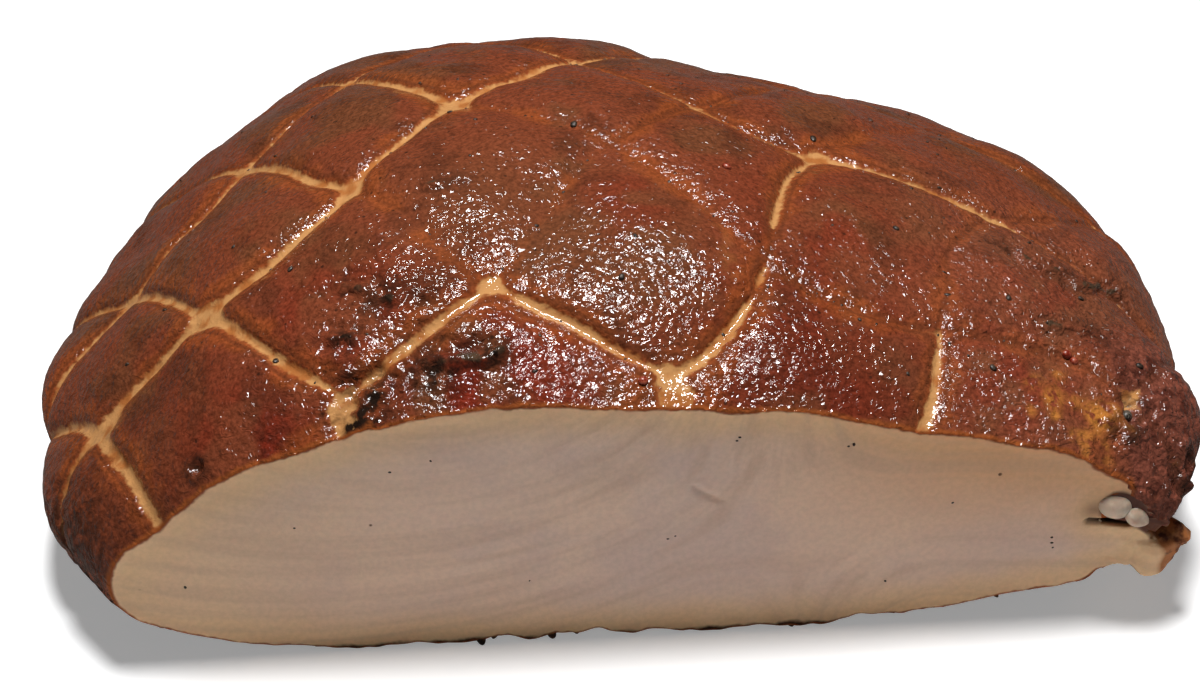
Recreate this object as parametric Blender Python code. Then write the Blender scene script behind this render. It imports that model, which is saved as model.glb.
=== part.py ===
"""Smoked turkey breast: half a breast, smoked skin side up in an elastic net, with a flat cut along its length.

Run with: blender --background --python part.py
Units are metres and +Z is up. X runs along the cut, and the cut face looks towards -Y. The breast is worked out
with the cut face in the plane y = 0, and is then moved so that the origin lies under the middle of its box, on the
surface that it rests on.

The body starts as a cube that is subdivided and pushed out to a ball. Each direction of the ball is mapped to a
point of the breast by a plan outline, a crest line and the level where the breast is widest. The net's imprint
and the soft swellings are added along the surface, and two planes then cut the flat face and the flat base.
"""

import math

import bmesh
import bpy
import numpy as np
from mathutils import Vector

MM = 0.001
NAME = "turkey_breast"

# Plan outline: reach from the centre of the breast in a direction every 30 degrees, from +X towards +Y.
PLAN_CENTRE = (0.0, 63.0 * MM)
PLAN_STEP_DEG = 30
PLAN_REACH = [r * MM for r in (132, 130, 110, 121, 133, 124, 121, 118, 99, 88, 98, 129)]
PLAN_FULLNESS = 0.84  # 1 is an ellipse from the top down to the widest level, less is squarer

# Crest line: height of the breast at stations along X, before it falls away towards the back.
CREST_STATIONS = [x * MM for x in (-130, -70, 0, 70, 130)]
CREST_HEIGHTS = [z * MM for z in (42, 74, 80, 71, 66)]
CREST_Y = 57.0 * MM
CREST_FALL = 12.0 * MM  # lower by this much 100 mm in front of the crest or behind it
WIDEST_LEVEL = 20.0 * MM
UNDERSIDE_DEPTHS = [z * MM for z in (10, 10, 9, 5, 2)]  # how far it would bulge below the base uncut
SECTION_FULLNESS = 0.94

# Net: knots of the elastic net, in plan, where line i of one set crosses line j of the other. A fraction is a place
# between two crossings.
NET_KNOTS = {
    (0, 0): (-101, 68), (0, 1): (-76, 93), (0, 2): (-52, 123),
    (1, -1): (-104, 30), (1, 0): (-79, 39), (1, 1): (-49, 61), (1, 2): (-27, 91), (1, 3): (1, 116),
    (2, -1): (-72, -14), (2, 0): (-49, 6), (2, 1): (-20, 25), (2, 2): (6, 68), (2, 3): (27, 88),
    (3, 1): (14, 5), (3, 2): (35, 32), (3, 3): (52, 75),
    (4, 1.55): (62.8, 0.5), (4, 2): (69, 20), (4, 3): (91, 64),
    (5, 2): (107, 16),
}
NET_PULL_REACH = 45.0 * MM
NET_SLACK = 0.02
NET_FADE = 0.45  # the imprint fades out this far round the underside, as a share of its depth
NET_GROOVE_DEPTH = 1.0 * MM
NET_GROOVE_WIDTH = 3.6 * MM
PILLOW_HEIGHT = 1.5 * MM
CUT_FADE = 16.0 * MM  # the imprint grows shallower from here to the cut, where this share of it is left
CUT_SHARE = 0.35
CELL_SIDE = 40.0 * MM
SKIN_STEPS = 20  # steps in which a length over the skin is added up

# Crossing waves of the skin: length in mm, direction and phase of each.
SKIN_WAVES = ((47, (3, 1, 1), 0.4), (34, (-1, 2, 2), 1.9), (25, (1, -1, 3), 3.1), (19, (2, 2, -1), 5.0))
WAVE_HEIGHT = 1.1 * MM

# Swellings and hollows of the skin: centre, reach and height of each.
SWELLINGS = {
    "lump_at_the_thin_end": ((121, 20, 43), 17, 7.0),
    "step_over_the_lump": ((113, 34, 60), 9, -2.5),
    "lobe_at_the_thick_end": ((-108, 16, 24), 16, 1.2),
}

# The cleft at the thin end, and the strip of meat under it that ends in a browned knob.
CLEFT = ((122, 4, 26), (22, 30, 2.4))
STRIP = ((94, 8, 18.5), (24, 15, 6.5))
KNOB_LOBES = {
    "middle": ((114, 4.5, 18.5), (5.8, 7.5, 6.0)),
    "upper_tip": ((117.5, 4, 21), (3.8, 5.5, 4.2)),
    "lower": ((113, 3, 15), (4.6, 5.0, 4.4)),
}
FAT_BEADS = {
    "larger": ((104.5, 0.0, 30.0), 3.6),
    "smaller": ((109.5, 0.5, 27.2), 2.5),
}

FACES_ALONG_CUBE = 30
CUT_SNAP = 1.6 * MM
CUTTER_REACH = 0.4


def clear_scene():
    for obj in list(bpy.data.objects):
        bpy.data.objects.remove(obj, do_unlink=True)


def in_metres(millimetres):
    return [v * MM for v in millimetres]


def material(name, colour, roughness):
    mat = bpy.data.materials.new(name)
    mat.use_nodes = True
    shader = mat.node_tree.nodes["Principled BSDF"]
    shader.inputs["Base Color"].default_value = (*colour, 1.0)
    shader.inputs["Roughness"].default_value = roughness
    shader.inputs["Metallic"].default_value = 0.0
    return mat


def smooth_through(stations, values, where):
    """A cubic Hermite curve through the values, level at neither end."""
    stations = np.asarray(stations)
    values = np.asarray(values)
    slopes = np.gradient(values, stations)
    where = np.clip(where, stations[0], stations[-1])
    k = np.clip(np.searchsorted(stations, where) - 1, 0, len(stations) - 2)
    span = stations[k + 1] - stations[k]
    t = (where - stations[k]) / span
    return (
        values[k] * (1 + 2 * t) * (1 - t) ** 2
        + values[k + 1] * t * t * (3 - 2 * t)
        + slopes[k] * span * t * (1 - t) ** 2
        - slopes[k + 1] * span * t * t * (1 - t)
    )


def plan_reach(angle):
    """Reach of the outline in direction angle, on a closed curve through PLAN_REACH."""
    degrees = np.degrees(angle) % 360
    ring = np.arange(-2, 360 // PLAN_STEP_DEG + 3)
    reach = [PLAN_REACH[k % len(PLAN_REACH)] for k in ring]
    return smooth_through(ring * float(PLAN_STEP_DEG), reach, degrees)


def breast_point(direction):
    """The point of the plain breast, without net or swellings, for directions on the unit ball."""
    angle = np.arctan2(direction[:, 1], direction[:, 0])
    level = np.clip(np.hypot(direction[:, 0], direction[:, 1]), 0, 1)
    rise = direction[:, 2]
    reach = plan_reach(angle) * level**PLAN_FULLNESS
    x = PLAN_CENTRE[0] + reach * np.cos(angle)
    y = PLAN_CENTRE[1] + reach * np.sin(angle)
    crest = smooth_through(CREST_STATIONS, CREST_HEIGHTS, x)
    crest = crest - CREST_FALL * ((y - CREST_Y) / (100 * MM)) ** 2
    underside = smooth_through(CREST_STATIONS, UNDERSIDE_DEPTHS, x)
    span = np.where(rise > 0, crest - WIDEST_LEVEL, WIDEST_LEVEL + underside)
    z = WIDEST_LEVEL + np.sign(rise) * span * np.abs(rise) ** SECTION_FULLNESS
    return np.stack([x, y, z], axis=1)


def direction_above(x, y):
    """Direction on the ball of the skin's upper side at a place in plan."""
    angle = np.arctan2(y - PLAN_CENTRE[1], x - PLAN_CENTRE[0])
    reach = np.hypot(x - PLAN_CENTRE[0], y - PLAN_CENTRE[1])
    level = np.clip(reach / plan_reach(angle), 0, 1) ** (1 / PLAN_FULLNESS)
    return np.stack([level * np.cos(angle), level * np.sin(angle), np.sqrt(1 - level**2)], axis=1)


def laid_flat(direction):
    """Flat coordinates of the skin: distance over the skin from its middle, in the plan direction."""
    angle = np.arctan2(direction[:, 1], direction[:, 0])
    tilt = np.arccos(np.clip(direction[:, 2], -1, 1))
    length = np.zeros(len(direction))
    last = None
    for step in np.linspace(0, 1, SKIN_STEPS + 1):
        down = tilt * step
        here = breast_point(np.stack([
            np.sin(down) * np.cos(angle), np.sin(down) * np.sin(angle), np.cos(down)
        ], axis=1))
        if last is not None:
            length += np.linalg.norm(here - last, axis=1)
        last = here
    return np.stack([length * np.cos(angle), length * np.sin(angle)], axis=1)


class Net:
    """Line numbers of the net anywhere on the skin: an even mesh that is pulled out of true near the knots."""

    def __init__(self):
        lines = np.array(list(NET_KNOTS.keys()), dtype=float)
        plan = np.array(list(NET_KNOTS.values()), dtype=float) * MM
        self.knots = laid_flat(direction_above(plan[:, 0], plan[:, 1]))
        flat = np.column_stack([np.ones(len(plan)), self.knots])
        self.even, *_ = np.linalg.lstsq(flat, lines, rcond=None)
        pull = self.reach_of_knots(self.knots) + NET_SLACK * np.eye(len(plan))
        self.pulls = np.linalg.solve(pull, lines - flat @ self.even)

    def reach_of_knots(self, skin):
        away = np.linalg.norm(skin[:, None] - self.knots[None], axis=2)
        return np.exp(-((away / NET_PULL_REACH) ** 2))

    def line_numbers(self, skin):
        flat = np.column_stack([np.ones(len(skin)), skin])
        return flat @ self.even + self.reach_of_knots(skin) @ self.pulls

    def relief(self, skin):
        """How far the skin lies under its plain form, which touches the middle of each pillow between the lines."""
        across = np.abs(self.line_numbers(skin) % 1.0 - 0.5)
        pillow = np.prod(1 - (2 * across) ** 3, axis=1)
        nearest = np.min(0.5 - across, axis=1) * CELL_SIDE
        groove = np.exp(-((nearest / NET_GROOVE_WIDTH) ** 2))
        return PILLOW_HEIGHT * (pillow - 1) - NET_GROOVE_DEPTH * groove


def waves(places):
    """Low unevenness of the skin, from a few crossing waves."""
    height = np.zeros(len(places))
    for length, direction, phase in SKIN_WAVES:
        along = places @ (np.array(direction) / np.linalg.norm(direction))
        height += np.sin(2 * math.pi * along / (length * MM) + phase)
    return WAVE_HEIGHT * height / len(SKIN_WAVES)


def swell(places):
    """Height that the swellings add at each place."""
    lift = np.zeros(len(places))
    for centre, reach, height in SWELLINGS.values():
        away = np.linalg.norm(places - np.array(centre) * MM, axis=1) / (reach * MM)
        lift += height * MM * np.exp(-(away**2))
    return lift


def body():
    bm = bmesh.new()
    bmesh.ops.create_cube(bm, size=2.0)
    bmesh.ops.subdivide_edges(bm, edges=bm.edges[:], cuts=FACES_ALONG_CUBE - 1, use_grid_fill=True)
    bm.verts.ensure_lookup_table()
    cube = np.array([v.co for v in bm.verts])
    direction = np.tan(cube * math.pi / 4)
    direction /= np.linalg.norm(direction, axis=1, keepdims=True)
    places = breast_point(direction)
    for vert, place in zip(bm.verts, places):
        vert.co = place
    bm.normal_update()
    normals = np.array([v.normal for v in bm.verts])
    under = np.clip(-direction[:, 2] / NET_FADE, 0, 1)
    imprint = (1 - under) * (CUT_SHARE + (1 - CUT_SHARE) * np.clip(places[:, 1] / CUT_FADE, 0, 1))
    lift = imprint * Net().relief(laid_flat(direction)) + swell(places) + waves(places)
    for vert, place, normal, height in zip(bm.verts, places, normals, lift):
        vert.co = place + normal * height
    return bm


def ellipsoid(centre, reach, rings):
    bm = bmesh.new()
    bmesh.ops.create_uvsphere(bm, u_segments=2 * rings, v_segments=rings, radius=1.0)
    for vert in bm.verts:
        vert.co = Vector([c + r * v for c, r, v in zip(centre, reach, vert.co)])
    return bm


def snap_to_planes(bm):
    """Moves points that nearly lie on the cut face or on the base onto it, so that the cuts leave no slivers."""
    for vert in bm.verts:
        if abs(vert.co.y) < CUT_SNAP:
            vert.co.y = 0.0
        if abs(vert.co.z) < CUT_SNAP:
            vert.co.z = 0.0


def block(lowest, highest):
    bm = bmesh.new()
    bmesh.ops.create_cube(bm, size=1.0)
    for vert in bm.verts:
        vert.co = Vector([low + (high - low) * (v + 0.5) for low, high, v in zip(lowest, highest, vert.co)])
    return bm


def as_object(bm, name, collection):
    mesh = bpy.data.meshes.new(name)
    bm.to_mesh(mesh)
    bm.free()
    obj = bpy.data.objects.new(name, mesh)
    collection.objects.link(obj)
    return obj


def combine(base, operation, pieces):
    """Joins the pieces to the base, or cuts them out of it, by one Boolean, and removes them."""
    collection = bpy.data.collections.new("tools")
    bpy.context.scene.collection.children.link(collection)
    for number, piece in enumerate(pieces):
        tool = as_object(piece, f"tool_{number}", collection)
        tool.hide_render = True
        tool.display_type = "WIRE"
    boolean = base.modifiers.new("combine", "BOOLEAN")
    boolean.operation = operation
    boolean.operand_type = "COLLECTION"
    boolean.collection = collection
    boolean.solver = "EXACT"
    depsgraph = bpy.context.evaluated_depsgraph_get()
    combined = bpy.data.meshes.new_from_object(base.evaluated_get(depsgraph))
    base.modifiers.clear()
    old = base.data
    base.data = combined
    bpy.data.meshes.remove(old)
    for tool in list(collection.objects):
        bpy.data.meshes.remove(tool.data)
    bpy.data.collections.remove(collection)


def centre_over_origin(mesh):
    """Moves the mesh so that the origin lies under the middle of its box, and prints the move."""
    lowest = np.min([v.co for v in mesh.vertices], axis=0)
    highest = np.max([v.co for v in mesh.vertices], axis=0)
    move = -(lowest + highest) / 2
    move[2] = -lowest[2]
    for vert in mesh.vertices:
        vert.co += Vector(move)
    print("moved by", np.round(move / MM, 2), "mm")


def main():
    clear_scene()
    collection = bpy.data.collections.new("smoked_turkey_breast")
    bpy.context.scene.collection.children.link(collection)
    skin = body()
    snap_to_planes(skin)
    breast = as_object(skin, NAME, collection)
    combine(breast, "UNION", [ellipsoid(*map(in_metres, STRIP), 12)])
    combine(breast, "DIFFERENCE", [
        block((-CUTTER_REACH, -CUTTER_REACH, -CUTTER_REACH), (CUTTER_REACH, 0, CUTTER_REACH)),
        block((-CUTTER_REACH, -CUTTER_REACH, -CUTTER_REACH), (CUTTER_REACH, CUTTER_REACH, 0)),
        ellipsoid(*map(in_metres, CLEFT), 14),
    ])
    lobes = [ellipsoid(in_metres(centre), in_metres(reach), 9) for centre, reach in KNOB_LOBES.values()]
    beads = [ellipsoid(in_metres(centre), [radius * MM] * 3, 8) for centre, radius in FAT_BEADS.values()]
    combine(breast, "UNION", lobes + beads)

    centre_over_origin(breast.data)

    breast.data.name = NAME
    breast.data.materials.clear()
    breast.data.materials.append(material("smoked_crust", (0.19, 0.06, 0.025), 0.32))
    breast.data.shade_smooth()
    breast.data.set_sharp_from_angle(angle=math.radians(45))


main()
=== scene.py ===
# %% [markdown]
# # A smoked turkey breast, skin side up, cut along its length
# The real thing is one piece of meat. It was tied in an elastic net, brined and smoked until its skin
# turned brown and tacky, and the net left pale lines where smoke could not reach. One flat cut shows the
# cooked meat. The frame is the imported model. Everything below dresses that one solid and never moves it.

# %% Load the frame
import itertools
import math
import time

import bmesh
import bpy
import numpy as np
from mathutils import Matrix, Vector


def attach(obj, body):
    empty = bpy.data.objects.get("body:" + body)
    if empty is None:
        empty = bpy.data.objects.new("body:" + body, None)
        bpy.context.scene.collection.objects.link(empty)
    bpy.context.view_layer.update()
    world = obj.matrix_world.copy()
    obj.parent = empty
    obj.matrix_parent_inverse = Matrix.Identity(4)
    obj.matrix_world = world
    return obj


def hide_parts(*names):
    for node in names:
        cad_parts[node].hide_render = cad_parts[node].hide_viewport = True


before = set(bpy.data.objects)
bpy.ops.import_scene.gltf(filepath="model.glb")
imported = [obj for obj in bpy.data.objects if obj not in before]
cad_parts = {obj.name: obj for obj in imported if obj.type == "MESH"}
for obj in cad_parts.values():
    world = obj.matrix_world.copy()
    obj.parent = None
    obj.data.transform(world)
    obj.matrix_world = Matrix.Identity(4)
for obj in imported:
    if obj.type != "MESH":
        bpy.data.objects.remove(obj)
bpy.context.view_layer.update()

MM = 0.001
BREAST = "turkey_breast"
started = time.time()
print("the solid has", len(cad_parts[BREAST].data.vertices), "vertices")


# %% [markdown]
# ## The plain form, once more
# The solid was worked out from a plan outline, a crest line and a widest level. The same named sizes are
# repeated here, in millimetres, because a finer skin has to lie on exactly that form. The solid was then
# moved so that its origin lies under its middle, and BREAST_TO_FRAME is that move.

# %% Sizes of the plain form
BREAST_TO_FRAME = np.array((-4.9, -91.22, 0.0))
PLAN_CENTRE = (0.0, 63.0)
PLAN_STEP_DEG = 30
PLAN_REACH = (132, 130, 110, 121, 133, 124, 121, 118, 99, 88, 98, 129)
PLAN_FULLNESS = 0.84
CREST_STATIONS = (-130, -70, 0, 70, 130)
CREST_HEIGHTS = (42, 74, 80, 71, 66)
CREST_Y = 57.0
CREST_FALL = 12.0
WIDEST_LEVEL = 20.0
UNDERSIDE_DEPTHS = (10, 10, 9, 5, 2)
SECTION_FULLNESS = 0.94
SKIN_WAVES = ((47, (3, 1, 1), 0.4), (34, (-1, 2, 2), 1.9), (25, (1, -1, 3), 3.1), (19, (2, 2, -1), 5.0))
WAVE_HEIGHT = 1.1
SWELLINGS = (((121, 20, 43), 17, 7.0), ((113, 34, 60), 9, -2.5), ((-108, 16, 24), 16, 1.2))


# %% The plain form as functions of a direction
SLANTED_AXIS = (0.31, 0.22, 0.92)
NORMAL_STEP = 0.004


def smooth_through(stations, values, where):
    """A cubic Hermite curve through the values."""
    stations = np.asarray(stations, dtype=float)
    values = np.asarray(values, dtype=float)
    slopes = np.gradient(values, stations)
    where = np.clip(where, stations[0], stations[-1])
    k = np.clip(np.searchsorted(stations, where) - 1, 0, len(stations) - 2)
    span = stations[k + 1] - stations[k]
    t = (where - stations[k]) / span
    return (
        values[k] * (1 + 2 * t) * (1 - t) ** 2
        + values[k + 1] * t * t * (3 - 2 * t)
        + slopes[k] * span * t * (1 - t) ** 2
        - slopes[k + 1] * span * t * t * (1 - t)
    )


def plan_reach(angle):
    ring = np.arange(-2, 360 // PLAN_STEP_DEG + 3)
    reach = [PLAN_REACH[k % len(PLAN_REACH)] for k in ring]
    return smooth_through(ring * PLAN_STEP_DEG, reach, np.degrees(angle) % 360)


def section(x, y, rise):
    """Half height of the section at a place in plan, above or below the widest level."""
    crest = smooth_through(CREST_STATIONS, CREST_HEIGHTS, x) - CREST_FALL * ((y - CREST_Y) / 100) ** 2
    underside = smooth_through(CREST_STATIONS, UNDERSIDE_DEPTHS, x)
    return np.where(rise > 0, crest - WIDEST_LEVEL, WIDEST_LEVEL + underside)


def breast_point(direction):
    angle = np.arctan2(direction[:, 1], direction[:, 0])
    level = np.clip(np.hypot(direction[:, 0], direction[:, 1]), 0, 1)
    reach = plan_reach(angle) * level**PLAN_FULLNESS
    x = PLAN_CENTRE[0] + reach * np.cos(angle)
    y = PLAN_CENTRE[1] + reach * np.sin(angle)
    rise = direction[:, 2]
    z = WIDEST_LEVEL + np.sign(rise) * section(x, y, rise) * np.abs(rise) ** SECTION_FULLNESS
    return np.stack([x, y, z], axis=1)


def direction_of(places):
    """The direction whose plain point lies at a place, or nearest to it along the ray from the middle."""
    x = places[:, 0] - PLAN_CENTRE[0]
    y = places[:, 1] - PLAN_CENTRE[1]
    rise = places[:, 2] - WIDEST_LEVEL
    angle = np.arctan2(y, x)
    level = (np.hypot(x, y) / plan_reach(angle)) ** (1 / PLAN_FULLNESS)
    height = np.abs(rise / section(places[:, 0], places[:, 1], rise)) ** (1 / SECTION_FULLNESS)
    direction = np.stack([level * np.cos(angle), level * np.sin(angle), np.sign(rise) * height], axis=1)
    return direction / np.linalg.norm(direction, axis=1, keepdims=True)


def plain_normal(direction):
    """Outward normal of the plain form, from two short steps along it."""
    side = np.cross(direction, SLANTED_AXIS)
    side /= np.linalg.norm(side, axis=1, keepdims=True)
    other = np.cross(direction, side)
    here = breast_point(direction)
    sideways = breast_point(direction + NORMAL_STEP * side) - here
    onwards = breast_point(direction + NORMAL_STEP * other) - here
    normal = np.cross(sideways, onwards)
    normal /= np.linalg.norm(normal, axis=1, keepdims=True) + 1e-12
    outward = np.sign(np.sum(normal * direction, axis=1, keepdims=True))
    return normal * outward


# %% [markdown]
# ## Unevenness that is the same on every run
# Skin is never even. Smooth random values on a lattice of points make soft blotches and dents, and
# distances to scattered points make pimples. Both are worked out with a fixed seed, so each run gives the
# same breast. In each call the length in millimetres comes first and the seed last.

# %% Smooth noise, pimples, soft steps and bells
TABLE_SIDE = 64
LATTICE_SHIFT = 500.37
PIMPLE_REACH = 0.75


def soft_step(low, high, value):
    """0 at low and 1 at high, with a smooth rise between them. Low may be the larger number."""
    t = np.clip((value - low) / (high - low), 0, 1)
    return t * t * (3 - 2 * t)


def bell(away):
    """1 where the distance is nothing, fading to about 0 at a distance of 2."""
    return np.exp(-(away**2))


def distance(places, centre):
    return np.linalg.norm(places - np.array(centre, dtype=float), axis=1)


def noise(places, size, seed):
    """Smooth random values between -1 and 1 that change over a length of size millimetres."""
    table = np.random.default_rng(seed).uniform(-1, 1, (TABLE_SIDE,) * 3)
    scaled = places / size + LATTICE_SHIFT
    cell = np.floor(scaled).astype(int)
    part = scaled - cell
    part = part * part * (3 - 2 * part)
    value = np.zeros(len(places))
    for corner in itertools.product((0, 1), repeat=3):
        weight = np.prod(np.where(corner, part, 1 - part), axis=1)
        index = (cell + corner) % TABLE_SIDE
        value += weight * table[index[:, 0], index[:, 1], index[:, 2]]
    return value


def pimples(places, size, seed):
    """Round bumps from 0 to 1, one to each cell of size millimetres."""
    table = np.random.default_rng(seed).uniform(0, 1, (TABLE_SIDE,) * 3 + (3,))
    scaled = places / size + LATTICE_SHIFT
    cell = np.floor(scaled).astype(int)
    nearest = np.full(len(places), 9.0)
    for corner in itertools.product((-1, 0, 1), repeat=3):
        index = (cell + corner) % TABLE_SIDE
        seeds = cell + corner + table[index[:, 0], index[:, 1], index[:, 2]]
        nearest = np.minimum(nearest, np.linalg.norm(scaled - seeds, axis=1))
    return np.clip(1 - nearest / PIMPLE_REACH, 0, 1)


# %% [markdown]
# ## The net
# An elastic net is a lattice of two crossing sets of cords that is pulled out of true by the shape it
# holds. Its knots are the driving sizes. From them come line numbers anywhere on the skin: a whole number
# is a cord. Dividing the distance in line numbers by their slope gives the distance to the nearest cord in
# millimetres. A cord printed clearly where it was pulled tight and hardly at all where it was slack, so
# each stretch has its own strength.

# %% Knots and how clearly each cord printed
NET_KNOTS = {
    (0, 0): (-101, 68), (0, 1): (-76, 93), (0, 2): (-52, 123),
    (1, -1): (-104, 30), (1, 0): (-79, 39), (1, 1): (-49, 61), (1, 2): (-27, 91), (1, 3): (1, 116),
    (2, -1): (-72, -14), (2, 0): (-49, 6), (2, 1): (-20, 25), (2, 2): (6, 68), (2, 3): (27, 88),
    (3, 1): (14, 5), (3, 2): (35, 32), (3, 3): (52, 75),
    (4, 1.55): (62.8, 0.5), (4, 2): (69, 20), (4, 3): (91, 64),
    (5, 2): (107, 16),
}
NET_PULL_REACH = 45.0
NET_SLACK = 0.02
NET_FADE = 0.45
SKIN_STEPS = 20
CUT_FADE = 16.0
CUT_SHARE = 0.35

# Strength of each cord's print half way between its crossings, from crossing -2 on. A cord that is not listed
# printed at the everyday strength.
EVERYDAY_PRINT = 0.62
PRINTS = (
    {
        0: (0.6, 0.9, 0.9, 0.8, 0.8, 0.7),
        1: (0.9, 1.0, 1.0, 1.0, 1.0, 0.8),
        2: (0.0, 0.1, 1.0, 0.0, 0.45, 0.6),
        3: (0.0, 0.0, 0.1, 1.0, 0.9, 0.2),
        4: (0.9, 0.9, 0.9, 1.0, 0.35, 0.5),
        5: (0.5, 0.5, 0.5, 0.5, 0.45, 0.4),
    },
    {
        -1: (0.8, 1.0, 1.0, 1.0, 0.8, 0.6),
        0: (0.8, 0.9, 1.0, 1.0, 0.1, 0.0),
        1: (0.8, 0.9, 1.0, 0.25, 1.0, 0.1, 0.0),
        2: (0.8, 0.9, 1.0, 0.1, 0.25, 0.55, 0.5),
        3: (0.6, 0.7, 0.75, 0.75, 0.75, 0.95, 0.7),
    },
)
FIRST_PRINT = -1.5

# Webs of pale skin where cords cross, as a place in plan and a radius. Two pairs run out to the cut as stems.
# At a gap, also a place in plan and a radius, the cord printed more faintly.
WEBS = (
    ((-79, 39), 1.9), ((-49, 61), 0.9), ((-27, 91), 1.6), ((-20, 25), 0.5), ((-49, 5), 0.9),
    ((-48.8, 1), 1.5), ((13.6, 5), 0.9), ((14.3, 1), 1.9), ((107, 16), 0.2), ((-101, 30), 1.0), ((52, 75), 0.8),
)
GAPS = (((36, 35), 5.5), ((30, 24), 2.5))


# %% The net as functions of a direction
def direction_above(x, y):
    angle = np.arctan2(y - PLAN_CENTRE[1], x - PLAN_CENTRE[0])
    reach = np.hypot(x - PLAN_CENTRE[0], y - PLAN_CENTRE[1])
    level = np.clip(reach / plan_reach(angle), 0, 1) ** (1 / PLAN_FULLNESS)
    return np.stack([level * np.cos(angle), level * np.sin(angle), np.sqrt(1 - level**2)], axis=1)


def laid_flat(direction):
    """Distance over the skin from its middle, in the plan direction."""
    angle = np.arctan2(direction[:, 1], direction[:, 0])
    tilt = np.arccos(np.clip(direction[:, 2], -1, 1))
    length = np.zeros(len(direction))
    last = None
    for step in np.linspace(0, 1, SKIN_STEPS + 1):
        down = tilt * step
        here = breast_point(np.stack([
            np.sin(down) * np.cos(angle), np.sin(down) * np.sin(angle), np.cos(down)
        ], axis=1))
        if last is not None:
            length += np.linalg.norm(here - last, axis=1)
        last = here
    return np.stack([length * np.cos(angle), length * np.sin(angle)], axis=1)


class Net:
    def __init__(self):
        lines = np.array(list(NET_KNOTS.keys()), dtype=float)
        plan = np.array(list(NET_KNOTS.values()), dtype=float)
        self.knots = laid_flat(direction_above(plan[:, 0], plan[:, 1]))
        flat = np.column_stack([np.ones(len(plan)), self.knots])
        self.even, *_ = np.linalg.lstsq(flat, lines, rcond=None)
        pull = self.reach_of_knots(self.knots) + NET_SLACK * np.eye(len(plan))
        self.pulls = np.linalg.solve(pull, lines - flat @ self.even)

    def reach_of_knots(self, skin):
        away = np.linalg.norm(skin[:, None] - self.knots[None], axis=2)
        return bell(away / NET_PULL_REACH)

    def line_numbers(self, direction):
        skin = laid_flat(direction)
        flat = np.column_stack([np.ones(len(skin)), skin])
        return flat @ self.even + self.reach_of_knots(skin) @ self.pulls


def imprint(direction, places):
    """Share of the net's relief that is left: none on the underside, and little beside the cut."""
    above = 1 - np.clip(-direction[:, 2] / NET_FADE, 0, 1)
    return above * (CUT_SHARE + (1 - CUT_SHARE) * np.clip(places[:, 1] / CUT_FADE, 0, 1))


def print_strength(numbers):
    """Strength of the nearest cord of each set, from how far along it a place lies."""
    strength = np.full(numbers.shape, EVERYDAY_PRINT)
    nearest = np.round(numbers)
    for family, cords in enumerate(PRINTS):
        along = numbers[:, 1 - family]
        for number, values in cords.items():
            on = nearest[:, family] == number
            step = along[on] - FIRST_PRINT
            step = np.floor(step) + soft_step(0.3, 0.7, step % 1.0)
            strength[on, family] = np.interp(step, np.arange(len(values)), values)
    return strength


net = Net()
print("net of", len(NET_KNOTS), "knots")


# %% [markdown]
# ## A mesh fine enough for skin
# The solid has faces of about 6 mm, far too large for a cord's print. A voxel remesh turns it into even
# quads of two thirds of a millimetre. Its points that lie on the cut are set exactly on the cut plane, and
# the rim between skin and meat is smoothed along its own line, because a remesh leaves it stepped.

# %% Remesh the solid
VOXEL = 0.7
ON_PLANE = 0.34
CUT_Y = 0.0
WELD = 0.02


def remeshed(source, name, voxel):
    bm = bmesh.new()
    bm.from_mesh(source.data)
    bmesh.ops.remove_doubles(bm, verts=bm.verts, dist=WELD * MM)
    mesh = bpy.data.meshes.new(name)
    bm.to_mesh(mesh)
    bm.free()
    obj = bpy.data.objects.new(name, mesh)
    bpy.context.scene.collection.objects.link(obj)
    remesh = obj.modifiers.new("even quads", "REMESH")
    remesh.mode = "VOXEL"
    remesh.voxel_size = voxel * MM
    fine = bpy.data.meshes.new_from_object(obj.evaluated_get(bpy.context.evaluated_depsgraph_get()))
    obj.modifiers.clear()
    obj.data = fine
    bpy.data.meshes.remove(mesh)
    return obj


def places_of(obj):
    places = np.empty(len(obj.data.vertices) * 3)
    obj.data.vertices.foreach_get("co", places)
    return places.reshape(-1, 3) / MM - BREAST_TO_FRAME


def put_back(obj, places):
    obj.data.vertices.foreach_set("co", ((places + BREAST_TO_FRAME) * MM).ravel())
    obj.data.update()


breast = remeshed(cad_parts[BREAST], "smoked_turkey_breast", VOXEL)
places = places_of(breast)
edges = np.empty(len(breast.data.edges) * 2, dtype=int)
breast.data.edges.foreach_get("vertices", edges)
edges = edges.reshape(-1, 2)
corners = np.empty(len(breast.data.loops), dtype=int)
breast.data.loops.foreach_get("vertex_index", corners)
quads = corners.reshape(-1, 4)
print(len(places), "vertices and", len(quads), "quads after", round(time.time() - started, 1), "s")


# %% Find the cut, the base and the rim, and smooth the rim
def mean_of_neighbours(values, edges):
    total = np.zeros_like(values)
    count = np.zeros(len(values))
    for a, b in ((0, 1), (1, 0)):
        for k in range(values.shape[1]):
            total[:, k] += np.bincount(edges[:, a], weights=values[edges[:, b], k], minlength=len(values))
        count += np.bincount(edges[:, a], minlength=len(values))
    return total / np.maximum(count, 1)[:, None], count


on_cut = np.abs(places[:, 1] - CUT_Y) < ON_PLANE
on_base = places[:, 2] < ON_PLANE
places[on_cut, 1] = CUT_Y
places[on_base, 2] = 0.0
cut_quads = on_cut[quads].all(axis=1)
in_cut = np.zeros(len(places), dtype=bool)
in_cut[quads[cut_quads].ravel()] = True
in_skin = np.zeros(len(places), dtype=bool)
in_skin[quads[~cut_quads].ravel()] = True
rim = in_cut & in_skin
rim_edges = edges[rim[edges].all(axis=1)]


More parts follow.
